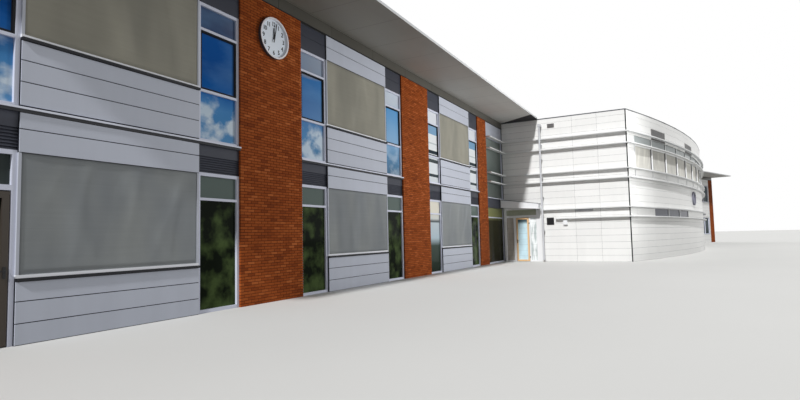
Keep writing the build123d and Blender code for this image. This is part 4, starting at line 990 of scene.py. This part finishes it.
# Bars and sills of the plain windows at the back and in the far wing
blocks = Blocks()
for place, windows in ((block_back_side, back_windows), (far_side, far_windows),
                       (far_back_side, far_windows)):
    for left, right, sill, head in windows:
        foot, top, middle = sill + FRAME_FACE, head - FRAME_FACE, (left + right) / 2
        for x0, x1, z0, z1 in ((left, right, sill, foot), (left, right, top, head),
                               (left, left + FRAME_FACE, foot, top), (right - FRAME_FACE, right, foot, top),
                               (middle - 0.02, middle + 0.02, foot, top)):
            blocks.add((x0, 0.014, z0), (x1, 0.05, z1), 0.003, place)
        blocks.add((left - 0.01, -0.02, sill - 0.016), (right + 0.01, 0.014, sill), 0.002, place)
blocks.make("window_bars", frame_paint, "frame_white")

# Fascia: sheets with open joints between them, over a drip along their foot
DRIP_HEIGHT = 0.012
sheets, drips = Blocks(), Blocks()
for place, first, last in ((garden_side, WING_LEFT, WING_RIGHT), (back_side, WING_LEFT, WING_RIGHT),
                           (far_side, 0.0, FAR_LENGTH)):
    for left, right in in_spans(first, last, 1.15):
        low = (left + 0.002, -0.003, BAND_BOTTOM + DRIP_HEIGHT + 0.002)
        sheets.add(low, (right - 0.002, 0, SOFFIT - 0.003), 0.001, place)
    drips.add((first, -0.008, BAND_BOTTOM), (last, 0, BAND_BOTTOM + DRIP_HEIGHT), 0.001, place)
sheets.make("fascia_sheets", fascia_metal, "dark_panel")
drips.make("fascia_drip", sill_metal, "dark_panel")

# Dark strip on the block's front corner, with a clip behind each slat, and a dark plate of painted shadow
# where the wing's soffit meets the block
blocks = Blocks()
blocks.add((block_corner - 0.016, -0.007, 0.0), (block_corner + 0.007, 0.0, PARAPET), 0.001, end_side)
start = along_arc(ARC_START)
blocks.add((start + 0.001, -0.007, 0.0), (start + 0.018, 0.0, PARAPET), 0.001, arc_side)
for level in SLAT_LEVELS:
    low = (block_corner - 0.03, -0.022, level - 0.006)
    blocks.add(low, (block_corner + 0.02, 0.0, level + SLAT_HEIGHT + 0.006), 0.002, end_side)
blocks.make("corner_strip", sill_metal, "dark_panel")
# Painted shadow: a thin dark plate under the soffit's end stands for the deep shade in the corner.
SHADE_PLATE_LENGTH, SHADE_PLATE_THICKNESS = 0.66, 0.004
plate = [(WING_RIGHT, FACADE, SOFFIT), (WING_RIGHT, FACADE - EAVE, SOFFIT),
         (WING_RIGHT - SHADE_PLATE_LENGTH, FACADE - EAVE, SOFFIT)]
points = plate + [(x, y, z - SHADE_PLATE_THICKNESS) for x, y, z in plate]
faces = [(0, 1, 2), (5, 4, 3), (0, 3, 4, 1), (1, 4, 5, 2), (2, 5, 3, 0)]
piece("soffit_shade_plate", points, faces, sill_metal)

# Blades of the vents, and the lamp's cover; a vent is (left, right, foot, head) on its wall
END_VENT, LOW_VENT = (3.762, 3.942, 3.55, 3.66), (4.387, 4.833, 1.294, 1.35)
END_VENT_FACE, TOP_VENT_FACE, BLADE_HEIGHT, BLADE_PROUD = 0.014, 0.0123, 0.011, 0.006


def add_blades(blocks, place, vent, face, steps=1, pitch=0.022):
    """Level blades in front of a vent whose face lies this far out of the wall."""
    left, right, foot, head = vent
    count = round((head - foot) / pitch)
    for index in range(count):
        level = foot + (index + 0.2) * (head - foot) / count
        low = (left + 0.006, -face - BLADE_PROUD, level)
        blocks.add(low, (right - 0.006, -face, level + BLADE_HEIGHT), 0.002, place, steps=steps)


blocks = Blocks()
for cell in TOP_VENT_CELLS:
    left, right = light_starts[cell] + POST_HALF, light_starts[cell + 1] - POST_HALF
    add_blades(blocks, arc_side, (left, right, TOP_VENT_FOOT, TOP_VENT_HEAD), TOP_VENT_FACE, steps=4)
add_blades(blocks, end_side, END_VENT, END_VENT_FACE)
blocks.make("vent_blades", blade_metal, "grey_metal")
blocks = Blocks()
add_blades(blocks, end_side, LOW_VENT, END_VENT_FACE, pitch=0.014)
blocks.make("low_vent_blades", pipe_metal, "grey_metal")
blocks = Blocks()
blocks.add((4.09, -0.064, 0.962), (4.184, -0.06, 1.074), 0.003, end_side)
blocks.make("lamp_cover", canopy_paint, "frame_white", bevel=0.001)

# Canopy: a dark flashing on its top edge, a white rail along its foot, and a post in the corner
blocks = Blocks()
low = (ENTRANCE_START - 0.01, -CANOPY_REACH - 0.006, 0.95)
blocks.add(low, (CANOPY_EDGE + 0.004, 0.0, 1.03), 0.002, canopy_side)
blocks.make("canopy_flashing", coping_metal, "frame_white")
blocks = Blocks()
low = (ENTRANCE_START, -CANOPY_REACH - 0.005, 0.0)
blocks.add(low, (CANOPY_EDGE, -CANOPY_REACH, 0.12), 0.001, canopy_side)
low = (ENTRANCE_START, -0.06, 0.0)
blocks.add(low, (ENTRANCE_START + 0.055, 0.03, ENTRANCE_HEAD - 0.004), 0.004, end_side)
blocks.make("canopy_rail", trim_white, "frame_white")


def make_numbers(radius, height):
    """Numbers of the dial, in a plain face, a hair in front of it."""
    points, faces = [], []
    for hour in range(1, 13):
        text = bpy.data.curves.new("number", "FONT")
        text.body = str(hour)
        text.size = height * 1.4
        text.align_x = "CENTER"
        text.align_y = "CENTER"
        text.resolution_u = 3
        text.offset = 0.002
        text.space_character = 0.84
        shown = link(bpy.data.objects.new("number", text))
        flat = bpy.data.meshes.new_from_object(shown)
        turn = radians(30 * hour)
        x, y, z = CLOCK[0] + radius * sin(turn), CLOCK[1] - 0.0006, CLOCK[2] + radius * cos(turn)
        base = len(points)
        points += [(x + vertex.co.x, y, z + vertex.co.y) for vertex in flat.vertices]
        faces += [tuple(base + corner for corner in face.vertices) for face in flat.polygons]
        bpy.data.objects.remove(shown)
        bpy.data.curves.remove(text)
        bpy.data.meshes.remove(flat)
    made = piece("dial_numbers", points, faces, black_metal)
    thick = made.modifiers.new("thick", "SOLIDIFY")
    thick.thickness = 0.001


make_numbers(radius=0.18, height=0.054)
